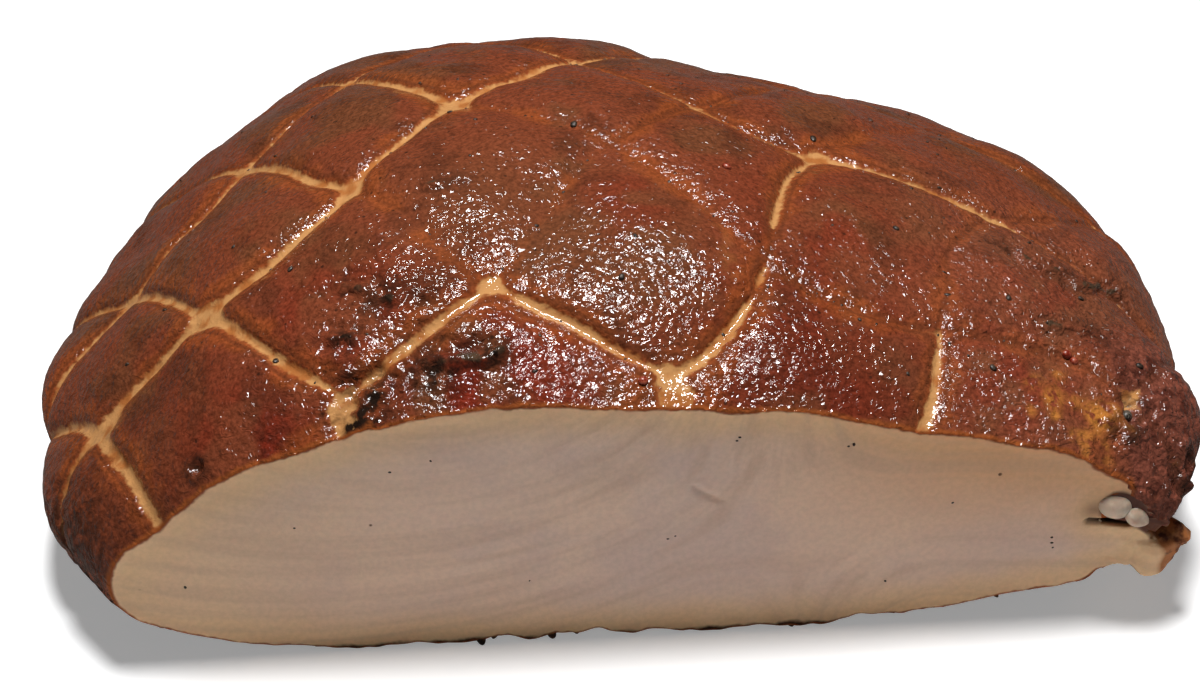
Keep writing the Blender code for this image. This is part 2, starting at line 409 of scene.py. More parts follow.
def smooth_rim(places, rounds):
    for _ in range(rounds):
        mean, count = mean_of_neighbours(places, rim_edges)
        inner = rim & (count >= 2)
        places[inner] = 0.5 * places[inner] + 0.5 * mean[inner]
        places[rim, 1] = CUT_Y
    return places


RIM_ROUNDS = 12
places = smooth_rim(places, RIM_ROUNDS)
print(int(cut_quads.sum()), "quads in the cut,", int(rim.sum()), "vertices on its rim")


# %% [markdown]
# ## Relief of the skin
# Skin that swelled between the cords stands as pillows, and each cord pressed a narrow channel. Where two
# cords cross, the channels join in a web. The relief is measured from the plain form, along its normal, so
# the coarse facets of the solid vanish. Away from the skin, on the cut, the base and inside the cleft,
# nothing moves.

# %% Line numbers and distance to the nearest cord
PILLOW_HEIGHT = 1.5
PILLOW_SHARE = 0.75
CHANNEL_DEPTH = 0.7
CHANNEL_WIDTH = 2.8
CORD_DEPTH = 0.5
CORD_HALF_WIDTH = 1.0
WEB = 1.2
FAINT_BY = 3.4
WOBBLE = 0.03
EDGE_WANDER = 0.25
LEAST_SLOPE = 0.012
USUAL_SLOPE_SHARE = 0.15
OWN_SLOPE_SHARE = 0.85
FADE_UNDER = 4.0
FITTING_ROUNDS = 3
WEB_EDGE_WANDER = 0.9
GAP_FAINT_BY = 2.0


def swell(places):
    lift = np.zeros(len(places))
    for centre, reach, height in SWELLINGS:
        lift += height * bell(distance(places, centre) / reach)
    for length, direction, phase in SKIN_WAVES:
        along = places @ (np.array(direction) / np.linalg.norm(direction))
        lift += WAVE_HEIGHT * np.sin(2 * math.pi * along / length + phase) / len(SKIN_WAVES)
    return lift


def pillow_relief(numbers):
    across = np.abs(numbers % 1.0 - 0.5)
    return PILLOW_HEIGHT * (np.prod(1 - (2 * across) ** 3, axis=1) - 1)


def slopes_of(values, places, edges):
    """How fast each value changes over the surface, per millimetre, from the neighbours of each vertex."""
    length = np.linalg.norm(places[edges[:, 0]] - places[edges[:, 1]], axis=1) + 1e-6
    slopes = np.zeros_like(values)
    for k in range(values.shape[1]):
        change = ((values[edges[:, 0], k] - values[edges[:, 1], k]) / length) ** 2
        for end in (0, 1):
            slopes[:, k] += np.bincount(edges[:, end], weights=change, minlength=len(values))
    count = np.bincount(edges.ravel(), minlength=len(values))
    return np.sqrt(2 * slopes / np.maximum(count, 1)[:, None])


def cord_distance(numbers, slopes, places):
    """Distance in millimetres to the nearest cord: negative where two join, larger where a print is faint."""
    wobbled = numbers + WOBBLE * np.stack([noise(places, 13, 1), noise(places, 13, 2)], axis=1)
    away = np.abs(wobbled - np.round(wobbled)) / np.maximum(slopes, LEAST_SLOPE)
    away += FAINT_BY * (1 - print_strength(wobbled)) + EDGE_WANDER * noise(places, 3.0, 3)[:, None]
    return -WEB * np.log(np.sum(np.exp(-away / WEB), axis=1))


# The solid's skin lies off the plain form by its pillows and swellings. A few rounds find the direction whose
# plain point lies under each vertex.
plain = direction_of(places)
for _ in range(FITTING_ROUNDS):
    on_form = breast_point(plain)
    normals = plain_normal(plain)
    lift = imprint(plain, on_form) * pillow_relief(net.line_numbers(plain)) + swell(on_form)
    plain = direction_of(places - normals * lift[:, None])
numbers = net.line_numbers(plain)
under = np.clip(-plain[:, 2] / NET_FADE, 0, 1)
base_points = breast_point(plain)
normals = plain_normal(plain)
slopes = slopes_of(numbers, places, edges)
usual_slopes = np.median(slopes[~in_cut], axis=0)
slopes = usual_slopes * USUAL_SLOPE_SHARE + OWN_SLOPE_SHARE * mean_of_neighbours(slopes, edges)[0]
cord = cord_distance(numbers, slopes, base_points) + FADE_UNDER * under


def away_from(plan_place):
    """Distance of each point of the skin from the point of the crown over a place in plan."""
    crown = breast_point(direction_above(*(np.array([value], dtype=float) for value in plan_place)))
    return np.linalg.norm(base_points - crown, axis=1)


for plan_place, radius in WEBS:
    to_web = away_from(plan_place) - radius + WEB_EDGE_WANDER * noise(base_points, 2.2, 4)
    cord = -WEB * np.log(np.exp(-cord / WEB) + np.exp(-to_web / WEB))
for plan_place, radius in GAPS:
    cord += GAP_FAINT_BY * bell(away_from(plan_place) / radius)
print("line numbers after", round(time.time() - started, 1), "s")
print("median slopes of the line numbers per mm", np.round(np.median(slopes, axis=0), 4))


# %% [markdown]
# ## Folds, dents and grain of the skin
# The smoked skin dried into small wet bumps, coarser where juice beaded on it, and it folded in short dark
# wrinkles near the cut and at the thin end. Each wrinkle is a named route over the skin, with a width and a
# height. The mesh is raised along it and dented beside it, so that it catches the light like a real fold.
# The ridge dried to a brown scab and charred a little, and the groove beside it is darkened as painted
# shade, so both are noted for the finish.

# %% Wrinkles, pits and patches, in millimetres
WRINKLES = {
    "long fold in the second cell": (((-51, 31, 71), (-45, 27, 72), (-39, 24, 72), (-31, 23.5, 72)), 1.0, 1.1),
    "fold above it": (((-47, 33, 72), (-41, 32, 73)), 0.8, 0.5),
    "flap in the second cell": (((-50.5, 18.5, 67), (-47.5, 17, 68)), 1.1, 0.9),
    "dimple by the second channel": (((-38, 17, 67.5), (-35.5, 16.5, 68)), 1.2, 0.8),
    "curl at the second channel": (((-51.5, 12.6, 62.5), (-48.8, 10.4, 61.6), (-44.5, 10.6, 63)), 1.0, 1.2),
    "scab on the third pillow": (((-36, 9.5, 65), (-31, 10, 67), (-25, 9.6, 68.3), (-19, 9, 68.5)), 1.3, 1.0),
    "scab under it": (((-33, 5, 63), (-27, 5.5, 65)), 1.2, 0.5),
    "charred knob at the cut": (((-42.6, 7, 61.5), (-43.8, 4.3, 59.3), (-45.4, 1.6, 57.3)), 2.0, 1.7),
    "crease behind the front": (((-33, 53, 79), (-28, 52.5, 79.3), (-23, 53, 79.5)), 0.9, 0.7),
    "upper crease, thin end": (((88.5, 53, 57), (96, 47.5, 55.6), (104.5, 46, 52), (116, 53, 44)), 1.0, 1.1),
    "lower crease, thin end": (((91.5, 28, 54), (100.5, 29.6, 51.8), (108, 30, 49), (114, 30.4, 46)), 0.8, 0.7),
    "crease down the lump": (((105.5, 15, 43), (104.5, 11, 41), (104.5, 8, 36), (104.5, 5, 32)), 1.3, -1.2),
    "fold low on the lump": (((109, 8, 32), (114, 9, 29), (120, 10, 27)), 1.4, -1.1),
    "fold at the thick end": (((-108, 20, 26), (-103, 13, 22), (-97, 7, 17)), 1.5, 0.8),
    "second fold at the thick end": (((-111, 26, 22), (-107, 17, 16), (-100, 9, 11)), 1.3, 0.8),
}
# Pits, scorched places and places of painted shade, and patches of fat: a centre, a reach, and a depth or a
# strength.
PITS = {
    "pit in the first cell": ((-78.3, 4.3, 47.9), 1.5, 1.1),
    "pit in the lump": ((115.5, 11.5, 31.8), 2.2, 2.2),
    "dent by the second knot": ((-24, 12, 68), 3.0, 0.6),
}
# Scorched places. Those low on the thick end, under the lump and in the lump's pit are painted shade.
SCORCHES_AND_SHADE = {
    "knob at the cut": ((-42.6, 7.0, 61.5), 2.9, 4.0),
    "knob at the cut, low": ((-44.4, 2.8, 58.3), 3.1, 4.0),
    "first cell": ((-78.3, 4.3, 47.9), 3.0, 0.95),
    "first cell, right": ((-62, 3.4, 53.3), 4.5, 0.6),
    "third pillow": ((-31, 8, 66), 5.5, 1.0),
    "third pillow, right": ((-21, 9, 68), 4.0, 0.9),
    "second cell": ((-48.0, 11, 62), 3.5, 1.2),
    "flap": ((-48.6, 17.4, 67.5), 2.6, 1.2),
    "long fold": ((-41, 25, 72), 5.0, 0.9),
    "long fold, right": ((-33, 23.4, 72.3), 4.0, 0.6),
    "thin end": ((104, 30, 50), 6.0, 0.55),
    "upper crease": ((100, 47, 54), 5.0, 0.5),
    "painted shade under the lump": ((114, 8, 29), 8.0, 0.8),
    "painted shade, thick end low": ((-106, 10, 20), 17.0, 0.9),
    "pit in the lump": ((115.5, 11.5, 31.8), 3.0, 1.5),
    "behind the front": ((-28.6, 52.6, 79), 4.0, 0.6),
}
FAINT_PRINTS = (
    ((-9.4, 44.3, 75.7), (-4.9, 51.5, 76)), ((2.1, 65.4, 76.6), (11.7, 76.1, 75.9)),
    ((26.3, 38, 73.6), (27.4, 28, 71.4)), ((21, 46, 75), (25.5, 40, 74)), ((84, 21, 54), (94, 18.3, 49.1)),
)
FAT_PATCHES = {
    "under the last cord": ((90.0, 11.0, 50.2), 2.8, 0.9),
    "beside it": ((86.3, 13.2, 51.8), 2.0, 0.6),
    "by the seed": ((99.2, 9.5, 43.7), 3.0, 0.9),
    "along the cut": ((95.5, 5, 44.2), 2.4, 0.7),
    "low on the lump": ((121.4, 14.1, 23.8), 3.0, 0.6),
}


# %% Distances to routes and spots
def distance_to_route(places, route):
    route = np.array(route, dtype=float)
    nearest = np.full(len(places), 1e3)
    for start, end in zip(route[:-1], route[1:]):
        run = end - start
        t = np.clip((places - start) @ run / (run @ run), 0, 1)
        nearest = np.minimum(nearest, np.linalg.norm(places - start - t[:, None] * run, axis=1))
    return nearest


def spots(places, named, ragged=0.35):
    """Soft spots from 0 to 1 at named centres, with a ragged outline."""
    mask = np.zeros(len(places))
    rag = 1 + ragged * noise(places, 2.6, 11)
    for centre, reach, strength in named.values():
        mask = np.maximum(mask, strength * bell(distance(places, centre) * rag / reach))
    return mask


# %% Raise the wrinkles and dent the pits
WRINKLE_WANDER = 1.5
GROOVE_AWAY = 2.1
GROOVE_WIDTH = 0.8
GROOVE_DEPTH = 0.55
PIT_LIP = 0.45
PIT_LIP_AWAY = 1.6
PIT_LIP_WIDTH = 0.5


def wrinkle_relief(places, char_and_shade, scab):
    """Raise the wrinkles and dent the pits, and note where the skin charred, where its grooves get painted shade
    and where it dried to a scab.
    """
    lift = np.zeros(len(places))
    rag = 0.5 * noise(places, 2.2, 21)
    torn = soft_step(-0.5, 0.4, noise(places, 2.8, 25))
    wandering = places + WRINKLE_WANDER * np.stack([noise(places, 3.4, k) for k in (22, 23, 24)], axis=1)
    ragged_edge = 1 + 0.45 * noise(places, 1.6, 26)
    for route, width, height in WRINKLES.values():
        away = distance_to_route(wandering, route) * ragged_edge
        ridge = bell(away / width)
        groove = bell((away - GROOVE_AWAY * width) / (GROOVE_WIDTH * width))
        lift += height * (ridge * (1 + rag) - GROOVE_DEPTH * groove)
        share = np.clip(abs(height), 0, 1) * torn
        scab[:] = np.maximum(scab, share * ridge)
        # Char on the ridge, and painted shade in the groove beside it.
        char_and_shade[:] = np.maximum(char_and_shade, share * (0.35 * ridge + 0.7 * groove))
    for centre, width, depth in PITS.values():
        away = distance(places, centre) / width
        lift += depth * (PIT_LIP * bell((away - PIT_LIP_AWAY) / PIT_LIP_WIDTH) - bell(away))
    return lift


scorch_and_shade = spots(base_points, SCORCHES_AND_SHADE)
scab = np.zeros(len(places))
wrinkles = wrinkle_relief(base_points, scorch_and_shade, scab)
print("wrinkles and pits from", round(wrinkles.min(), 1), "to", round(wrinkles.max(), 1), "mm")


# %% Where the skin is beaded, lumpy, coarse or fatty
BEADED = (
    ((5, 32, 74), 22, 1.0), ((-20, 45, 78), 20, 0.8), ((-33, 22, 70), 16, 0.45),
    ((60, 12, 58), 18, 0.3), ((-20, 8, 66), 14, 0.4), ((95, 15, 48), 14, 0.5),
)
FAINT_PRINT_WIDTH = 1.7
LUMP_PLACE = (121, 16, 35)
LUMP_REACH = (17.5, 27, 21)
COARSE_ALONG = (50, 95)
COARSE_DEEP = (90, 60)

fat = spots(base_points, FAT_PATCHES, ragged=0.8)
faint_print = np.min([distance_to_route(base_points, route) for route in FAINT_PRINTS], axis=0)
faint_print = bell(faint_print / FAINT_PRINT_WIDTH) * soft_step(-0.5, 0.3, noise(base_points, 2.4, 12))
beaded = np.zeros(len(places))
for centre, reach, strength in BEADED:
    beaded = np.maximum(beaded, strength * bell(distance(base_points, centre) / reach))
lump = bell(np.linalg.norm((base_points - LUMP_PLACE) / LUMP_REACH, axis=1) ** 3)
coarse = 0.7 * soft_step(*COARSE_ALONG, base_points[:, 0]) * soft_step(*COARSE_DEEP, base_points[:, 1])
coarse = np.maximum(lump, coarse)
print(int((beaded > 0.5).sum()), "vertices where juice beaded,", int((lump > 0.5).sum()), "on the lump")


# %% Raise the skin
PIMPLE_SIZE = 2.3
PIMPLE_HEIGHT = 0.10
BEAD_HEIGHT = 0.26
CORD_EDGE = (CORD_HALF_WIDTH - 0.7, CORD_HALF_WIDTH + 0.5)
BESIDE_CORD = (0.6, 2.2)
GRAIN_ON_CORD = 0.25

channel = bell(np.maximum(cord, 0) / CHANNEL_WIDTH)
floor_of_cord = 1 - soft_step(*CORD_EDGE, cord)
relief = pillow_relief(numbers) * (PILLOW_SHARE + 0.2 * noise(base_points, 30, 31))
relief -= CHANNEL_DEPTH * channel + CORD_DEPTH * floor_of_cord
relief *= imprint(plain, base_points)
relief += swell(base_points) + wrinkles
grain = (PIMPLE_HEIGHT + BEAD_HEIGHT * beaded) * pimples(base_points, PIMPLE_SIZE, 41)
grain += 0.08 * noise(base_points, 1.7, 42)
grain += 0.18 * noise(base_points, 5.5, 43) + 0.3 * noise(base_points, 11, 44)
lumpy = 0.5 * noise(base_points, 3.0, 45) + 0.4 * noise(base_points, 7, 46) + 0.3 * noise(base_points, 1.7, 47)
grain += lump * lumpy + 0.3 * coarse * noise(base_points, 1.9, 48)
relief += grain * (GRAIN_ON_CORD + (1 - GRAIN_ON_CORD) * soft_step(*BESIDE_CORD, cord))
target = base_points + normals * relief[:, None]
print("relief from", round(relief.min(), 1), "to", round(relief.max(), 1), "mm")


# %% [markdown]
# ## Which points follow the skin
# Points on the cut, on the base, inside the cleft, on the two beads in it and on the strip and knob under
# it keep the solid's form. A weight fades the skin's relief out towards them. The points of the rim take
# the skin's relief too, but stay in the plane of the cut, and the meat next to them is relaxed so that its
# quads stay even.

# %% Blend the relief in and relax the cut
CLEFT = ((122, 4, 26), (22, 30, 2.4))
STRIP = ((94, 8, 18.5), (24, 15, 6.5))
KNOB = ((114, 4.5, 18.5), (9, 9.5, 8.0))
BEADS = (((104.5, 0.0, 30.0), 3.6), ((109.5, 0.5, 27.2), 2.5))
OFF_BASE = (0.2, 1.6)
LARGEST_MOVE = 4.0
FADING_ROUNDS = 6
RELAXING_ROUNDS = 25


def beyond(places, ellipsoid, margin):
    """0 inside an ellipsoid that is widened by a margin, 1 well outside it."""
    centre, reach = np.array(ellipsoid[0], dtype=float), np.array(ellipsoid[1], dtype=float) + margin
    level = np.linalg.norm((places - centre) / reach, axis=1)
    return soft_step(1.0, 1.0 + 3.0 / min(reach), level)


follows = soft_step(*OFF_BASE, places[:, 2]) * beyond(places, CLEFT, 0.4)
follows *= beyond(places, STRIP, 0.3) * beyond(places, KNOB, 0.0)
for centre, radius in BEADS:
    follows *= beyond(places, (centre, (radius,) * 3), 0.5)
follows[np.linalg.norm(target - places, axis=1) > LARGEST_MOVE] = 0.0
for _ in range(FADING_ROUNDS):
    follows = np.minimum(follows, mean_of_neighbours(follows[:, None], edges)[0][:, 0])
moved = places + follows[:, None] * (target - places)
moved[in_cut & ~rim] = places[in_cut & ~rim]
moved[on_base & ~on_cut] = places[on_base & ~on_cut]
moved[rim, 1] = CUT_Y
moved = smooth_rim(moved, 2)
inner_cut = in_cut & ~rim
for _ in range(RELAXING_ROUNDS):
    mean, _count = mean_of_neighbours(moved, edges)
    moved[inner_cut] = mean[inner_cut]
    moved[inner_cut, 1] = CUT_Y
print("points moved by up to", round(float(np.linalg.norm(moved - places, axis=1).max()), 2), "mm")


# %% [markdown]
# ## The thin end
# At the thin end the meat is split. A deep cleft runs between a dark lump of skin above and a strip of meat
# below, which ends in a knob, and two beads of fat and gristle sit in the cleft. The solid has these forms
# plainly. Here the lump is made to hang a little over the cut and the cleft, the knob sags and turns up
# rough, the neck before it is narrowed from below, and the beads are pressed back so that their own mesh
# can cover them. Each move is a distance times soft masks. A pair of numbers names the places where a mask
# begins and where it is full.

# %% Sizes of the thin end, in millimetres
SQUASH = 0.5
BEAD_SQUASH = 0.1
BEAD_NEAR = 1.0
KNOB_SAG = 1.6
KNOB_SAG_LEVELS = (19, 12)
KNOB_FALL = 2.6
KNOB_FALL_ALONG = (108, 112)
KNOB_FALL_LEVELS = (18, 24)
KNOB_TOP = 26.7
LUMP_EDGE = 105.3
LUMP_FOOT = 27.5
LUMP_HANG = ((114, 3, 32), (9, 11, 8), (2.8, -3.6, -2.6))
HANG_LEVELS = (25.0, 28.0)
HANG_EDGE = 2.5
NECK_RISE = 2.6
NECK_START = (98.5, 101.5)
NECK_END = (112, 108)
NECK_LEVELS = (17, 12)
NECK_DEEP = (12, 5)
SHELF_TURN = 0.75
SHELF_LEVELS = (27.5, 25.5)
SHELF_ALONG = (104, 113)
SHELF_DEEP = (26, 14)
SHELF_TURN_FROM = 2.5
SHELF_TURN_TO = 12


# %% Press the beads back, and shape the knob, the lump and the neck
along, deep, high = places.T
bead_distance = np.min([distance(places, centre) - radius for centre, radius in BEADS], axis=0)
before_cut = moved[:, 1] < CUT_Y
moved[before_cut, 1] *= np.where(bead_distance < BEAD_NEAR, BEAD_SQUASH, SQUASH)[before_cut]
knobbly = 0.6 * noise(moved, 3.6, 56) + 0.35 * noise(moved, 1.6, 57)
at_knob = 1 - beyond(places, KNOB, 0.4)
moved += (at_knob * knobbly)[:, None] * normals
moved[:, 2] -= KNOB_SAG * at_knob * soft_step(*KNOB_SAG_LEVELS, high)
knob_fall = KNOB_FALL * soft_step(*KNOB_FALL_ALONG, along) * soft_step(*KNOB_FALL_LEVELS, high)
moved[:, 2] -= knob_fall * (high < KNOB_TOP)

lump_edge = LUMP_EDGE + 1.2 * noise(places, 4.0, 58)
lump_front = in_cut & (along > lump_edge) & (high > LUMP_FOOT)
hang_middle, hang_reach, hang_by = (np.array(values, dtype=float) for values in LUMP_HANG)
hang = bell(np.linalg.norm((places - hang_middle) / hang_reach, axis=1))
hang *= soft_step(-HANG_EDGE, HANG_EDGE, along - lump_edge) * soft_step(*HANG_LEVELS, high)
moved += hang[:, None] * (hang_by + 1.5 * knobbly[:, None] * normals)

neck = soft_step(*NECK_START, along) * soft_step(*NECK_END, along) * soft_step(*NECK_LEVELS, high)
moved[:, 2] += NECK_RISE * neck * soft_step(*NECK_DEEP, deep)
shelf = soft_step(*SHELF_LEVELS, high) * soft_step(*SHELF_ALONG, along) * soft_step(*SHELF_DEEP, deep)
moved[:, 0] -= shelf * SHELF_TURN * np.clip(deep - SHELF_TURN_FROM, 0, SHELF_TURN_TO)
print(int(lump_front.sum()), "vertices of the cut belong to the front of the lump")


# %% [markdown]
# ## The cut face and the ragged lower edge
# A knife leaves meat flat, but the fibres part a little: they run in bands that curve with the outline at
# the thick end and fan out at the thin end. Each place on the cut gets the number of its fibre bundle, and
# noise stretched along the bundles gives very low ridges. The lower edge, where the breast lay on the
# smoker's rack, is torn and dried, so it is notched up from the base by a few millimetres in places.

# %% Fibres and tears of the cut face
TEARS = (((18, 0, 40.2), (21, 0, 37.8)), ((21, 0, 38), (23.5, 0, 36.4)))
TEAR_WIDTH = 0.55
TEAR_DEPTH = 0.5
CLEFT_LINE = ((98.4, 0, 26.2), (103, 0, 25.9), (112, 0, 25.2))
CLEFT_LINE_WIDTH = 0.7
CLEFT_LINE_DEPTH = 0.9
CLEFT_LEVEL = 26.5
SLOT_DEEP = (0.3, 1.5)
SLOT_ALONG = (113, 108)
BEND_CENTRE = (-20, 78)
BEND_FLATNESS = 1.35
FAN_NUMBER = 60
FAN_CENTRE = (60, 22)
FAN_SLOPE = 0.22
FAN_SPREAD = 1.2
FAN_ALONG = (10, 70)
FIBRE_LENGTH = 26.0
FIBRE_WIDTH = 1.6
SETTLE_BY = 0.25
SETTLE_REACH = 3.0
FAR_AWAY = 99.0
BATCH = 4000


def fibre_field(x, z):
    """Number of the fibre bundle on the cut: bands that bend round the thick end and fan at the thin end."""
    bend = np.hypot(x - BEND_CENTRE[0], BEND_FLATNESS * (z - BEND_CENTRE[1]))
    fan = (z - FAN_CENTRE[1]) - FAN_SLOPE * (x - FAN_CENTRE[0])
    share = soft_step(*FAN_ALONG, x)
    return (1 - share) * bend + share * (FAN_NUMBER + fan * FAN_SPREAD)


x, y, z = moved.T
fibre = fibre_field(x, z)
fibre_places = np.stack([fibre / FIBRE_WIDTH, (x + 0.4 * z) / FIBRE_LENGTH, np.zeros(len(x))], axis=1)
fibre_relief = 0.02 * noise(fibre_places, 1.0, 51) + 0.10 * noise(fibre_places * (0.35, 1, 1), 1.0, 52)
meat_dents = 0.18 * noise(np.stack([x, z, 0 * z], axis=1), 9.0, 53)
tear = np.zeros(len(x))
for route in TEARS:
    tear = np.maximum(tear, bell(distance_to_route(moved, route) / TEAR_WIDTH))
# Painted shade: a dark line along the cleft on the cut, and the inside of the cleft's slot.
cleft_shade = bell((distance_to_route(moved, CLEFT_LINE) / CLEFT_LINE_WIDTH) ** 2)
in_slot = (1 - beyond(places, CLEFT, 0.7)) * soft_step(*SLOT_DEEP, deep) * soft_step(*SLOT_ALONG, x)
cleft_shade = np.maximum(cleft_shade * in_cut, in_slot)


# %% Settle the meat behind its rim
away_from_rim = np.full(len(x), FAR_AWAY)
rim_line = moved[rim]
for first in range(0, int(inner_cut.sum()), BATCH):
    some = np.flatnonzero(inner_cut)[first:first + BATCH]
    away_from_rim[some] = np.sqrt(((moved[some, None] - rim_line[None]) ** 2).sum(axis=2).min(axis=1))
away_from_rim[rim] = 0.0
to_lump = np.where(high > CLEFT_LEVEL, lump_edge - along, FAR_AWAY)
away_from_rim = np.minimum(away_from_rim, np.abs(to_lump))
settle = soft_step(0.0, SETTLE_REACH, away_from_rim) * inner_cut
moved[:, 1] += settle * (SETTLE_BY + fibre_relief + meat_dents + TEAR_DEPTH * tear)
moved[:, 1] += CLEFT_LINE_DEPTH * cleft_shade * in_cut
print("the meat lies up to", round(float(moved[inner_cut, 1].max()), 2), "mm behind its rim")


# %% Notch the lower edge
EDGE_NOTCHES = (
    (-60, 6, 0.8), (-40, 6, 1.2), (-22, 4, 3), (-8, 5, 2.4), (-2, 7, 2.6),
    (12, 6, 1.6), (30, 7, 1.4), (52, 8, 1.8), (69, 5, 1.4), (83, 7, 3.2),
)
EDGE_DEPTH = 5.0
EDGE_FROM = (-99, -92)
EDGE_TO = (86, 92)
SQUEEZED_UP_TO = 6.0


def edge_notch(x):
    height = np.zeros(len(x))
    for centre, width, rise in EDGE_NOTCHES:
        height = np.maximum(height, rise * bell((x - centre) / width))
    return height


ragged = edge_notch(x) * (0.75 + 0.5 * noise(moved * (1, 0.3, 0), 3.4, 54))
ragged += 0.5 * (noise(moved * (1, 0, 0), 2.1, 55) + 0.4)
near_front = bell(np.maximum(y, 0) / EDGE_DEPTH) * soft_step(*EDGE_FROM, x) * (1 - soft_step(*EDGE_TO, x))
squeeze = 1 - soft_step(0.0, SQUEEZED_UP_TO, z)
moved[:, 2] += np.maximum(ragged, 0) * near_front * squeeze
moved[:, 2] = np.maximum(moved[:, 2], 0.0)
put_back(breast, moved)
print("cut and lower edge shaped after", round(time.time() - started, 1), "s")


# %% [markdown]
# ## Values for the finishes
# The finishes need to know where on the skin they are: how far from a cord, from the rim or from the base,
# and how scorched or fatty a place is, and where painted shade goes. Each is stored once for every vertex as a
# named attribute, and the materials read it. The distance from the rim counts up over the skin and down below
# nothing over the meat.

# %% The rim, the knob and the cleft
OFF_CORD = 9.0
BEAD_MARGIN = 0.3
BARE_BY_BEADS = (2.0, 1.0)
CREVICE_BY_BEADS = (1.4, 0.4)
BEAD_SIDE_SHADE_PLACE = (99.4, 0.0, 29.2)
BEAD_SIDE_SHADE_REACH = (2.8, 9.0, 2.3)
BEAD_SIDE_SHADE_SHARE = 0.6
LUMP_LEVELS = (54, 46)
LUMP_DEEP = (40, 25)
STRIP_START = 92
CRUST_START = 114.6
CRUST_FADE = (-0.8, 1.4)
CRUST_ALONG = (104, 108)

from_rim = np.where(in_cut, -away_from_rim, np.maximum(y, 0))
past_edge = (x - lump_edge) * (high > CLEFT_LEVEL)
from_lump_edge = np.where(in_cut, past_edge, np.maximum(past_edge, y))
from_rim = np.where(past_edge > 0, from_lump_edge, from_rim)
past_lump_edge = soft_step(-1.0, 1.0, past_edge) * soft_step(*LUMP_LEVELS, z) * soft_step(*LUMP_DEEP, y)
lump = np.maximum(lump, past_lump_edge)
cord[lump_front] = OFF_CORD
on_knob = (1 - beyond(places, STRIP, 0.6) * beyond(places, KNOB, 0.4)) * (along > STRIP_START)
bare = np.maximum(on_knob, soft_step(*BARE_BY_BEADS, bead_distance))
# Painted shade round the beads, and a patch of painted shade on the cut left of the first bead.
bead_side_shade = bell(np.linalg.norm((moved - BEAD_SIDE_SHADE_PLACE) / BEAD_SIDE_SHADE_REACH, axis=1)) * in_cut
crevice_shade = np.maximum(soft_step(*CREVICE_BY_BEADS, bead_distance), BEAD_SIDE_SHADE_SHARE * bead_side_shade)
past_crust = x - CRUST_START + 0.7 * np.maximum(z - 19, 0) + 0.25 * np.maximum(y, 0)
past_crust += 0.8 * noise(moved, 3.0, 59)
knob_crust = on_knob * soft_step(*CRUST_FADE, past_crust) * soft_step(*CRUST_ALONG, x)
print(int((on_knob > 0.5).sum()), "vertices on the strip and its knob")


# %% Patches of colour over the skin
RED_SPOTS = {
    "low in the first cell": ((-68, 3, 53), 14, 0.9),
    "first cell, upper": ((-85, 22, 52), 16, 0.35),
    "second cell": ((-50, 22, 68), 16, 0.75),
    "third pillow": ((-20, 5, 64), 20, 0.9),
    "fourth pillow": ((40, 8, 60), 24, 0.85),
    "fifth pillow": ((85, 14, 52), 16, 0.8),
    "top of the fourth cell": ((10, 45, 79), 12, 0.5),
    "behind the fourth": ((45, 40, 70), 22, 0.4),
    "thin end": ((98, 35, 52), 16, 0.6),
}
# The fourth pillow's spots darken its tone. At the thick end the spots are painted shade, low down and in its
# fold.
DARK_SPOTS = {
    "fourth pillow": ((38, 8, 62), 20, 0.95),
    "fourth pillow, right": ((56, 8, 57), 12, 0.7),
    "painted shade low at the thick end": ((-84, 8, 36), 20, 0.6),
    "painted shade in the fold of the thick end": ((-106, 20, 30), 18, 0.5),
}
OLIVE_SHARE = 0.65
GLOW_REACH = 3.6
GLOW_WANDER = 4.5


def blotch(size, seed, low, high):
    """Soft patches of about the given size in millimetres, with finer patches inside them."""
    value = 0.6 * noise(moved, size, seed) + 0.3 * noise(moved, size / 2.2, seed + 1)
    return soft_step(low, high, value + 0.2 * noise(moved, size / 5, seed + 2))


# Painted shade: the skin low down and the skin that turns under are darkened.
low_down = 1 - soft_step(-0.5, 16, z)
turned_under = soft_step(0.0, 0.35, -plain[:, 2])
underside = np.clip(np.maximum(low_down, turned_under), 0, 1)
redness = spots(moved, RED_SPOTS, ragged=0.15) * soft_step(-0.5, 0.2, noise(moved, 6, 61))
olive = OLIVE_SHARE * np.maximum(blotch(20, 62, -0.05, 0.35), beaded)
dried_and_shaded = np.maximum(blotch(7, 65, 0.05, 0.45), spots(moved, DARK_SPOTS, ragged=0.25))
matt = np.clip(blotch(12, 68, -0.05, 0.35) * soft_step(0.6, 0.15, beaded) + underside, 0, 1)
glow = soft_step(GLOW_REACH, -0.6, cord - GLOW_WANDER * blotch(8, 71, -0.6, 0.6))
cord_shade = blotch(3.0, 74, -0.1, 0.4)
print("olive on", round(float(olive.mean()), 2), "and red on", round(float(redness.mean()), 2), "of the skin")


# %% Store the attributes and split the faces
values = {
    "cord": cord, "cord_shade": cord_shade, "faint_print": faint_print, "glow": glow,
    "olive": olive, "redness": redness, "dried_and_shaded": dried_and_shaded, "matt": matt, "beaded": beaded, "coarse": coarse,
    "fat": fat, "scab": scab, "scorch_and_shade": scorch_and_shade, "lump": lump, "underside": underside,
    "from_rim": from_rim, "fibre": fibre, "tear": tear, "bare": bare, "knob_crust": knob_crust,
    "crevice_shade": crevice_shade, "cleft_shade": cleft_shade,
}
for name, value in values.items():
    attribute = breast.data.attributes.new(name, "FLOAT", "POINT")
    attribute.data.foreach_set("value", np.asarray(value, dtype=np.float32))
on_bead = bead_distance[quads].mean(axis=1) < BEAD_MARGIN
bare_knob = on_knob[quads].mean(axis=1) > 0.5
meat_faces = (in_cut[quads].all(axis=1) & ~lump_front[quads].any(axis=1)) | bare_knob | on_bead
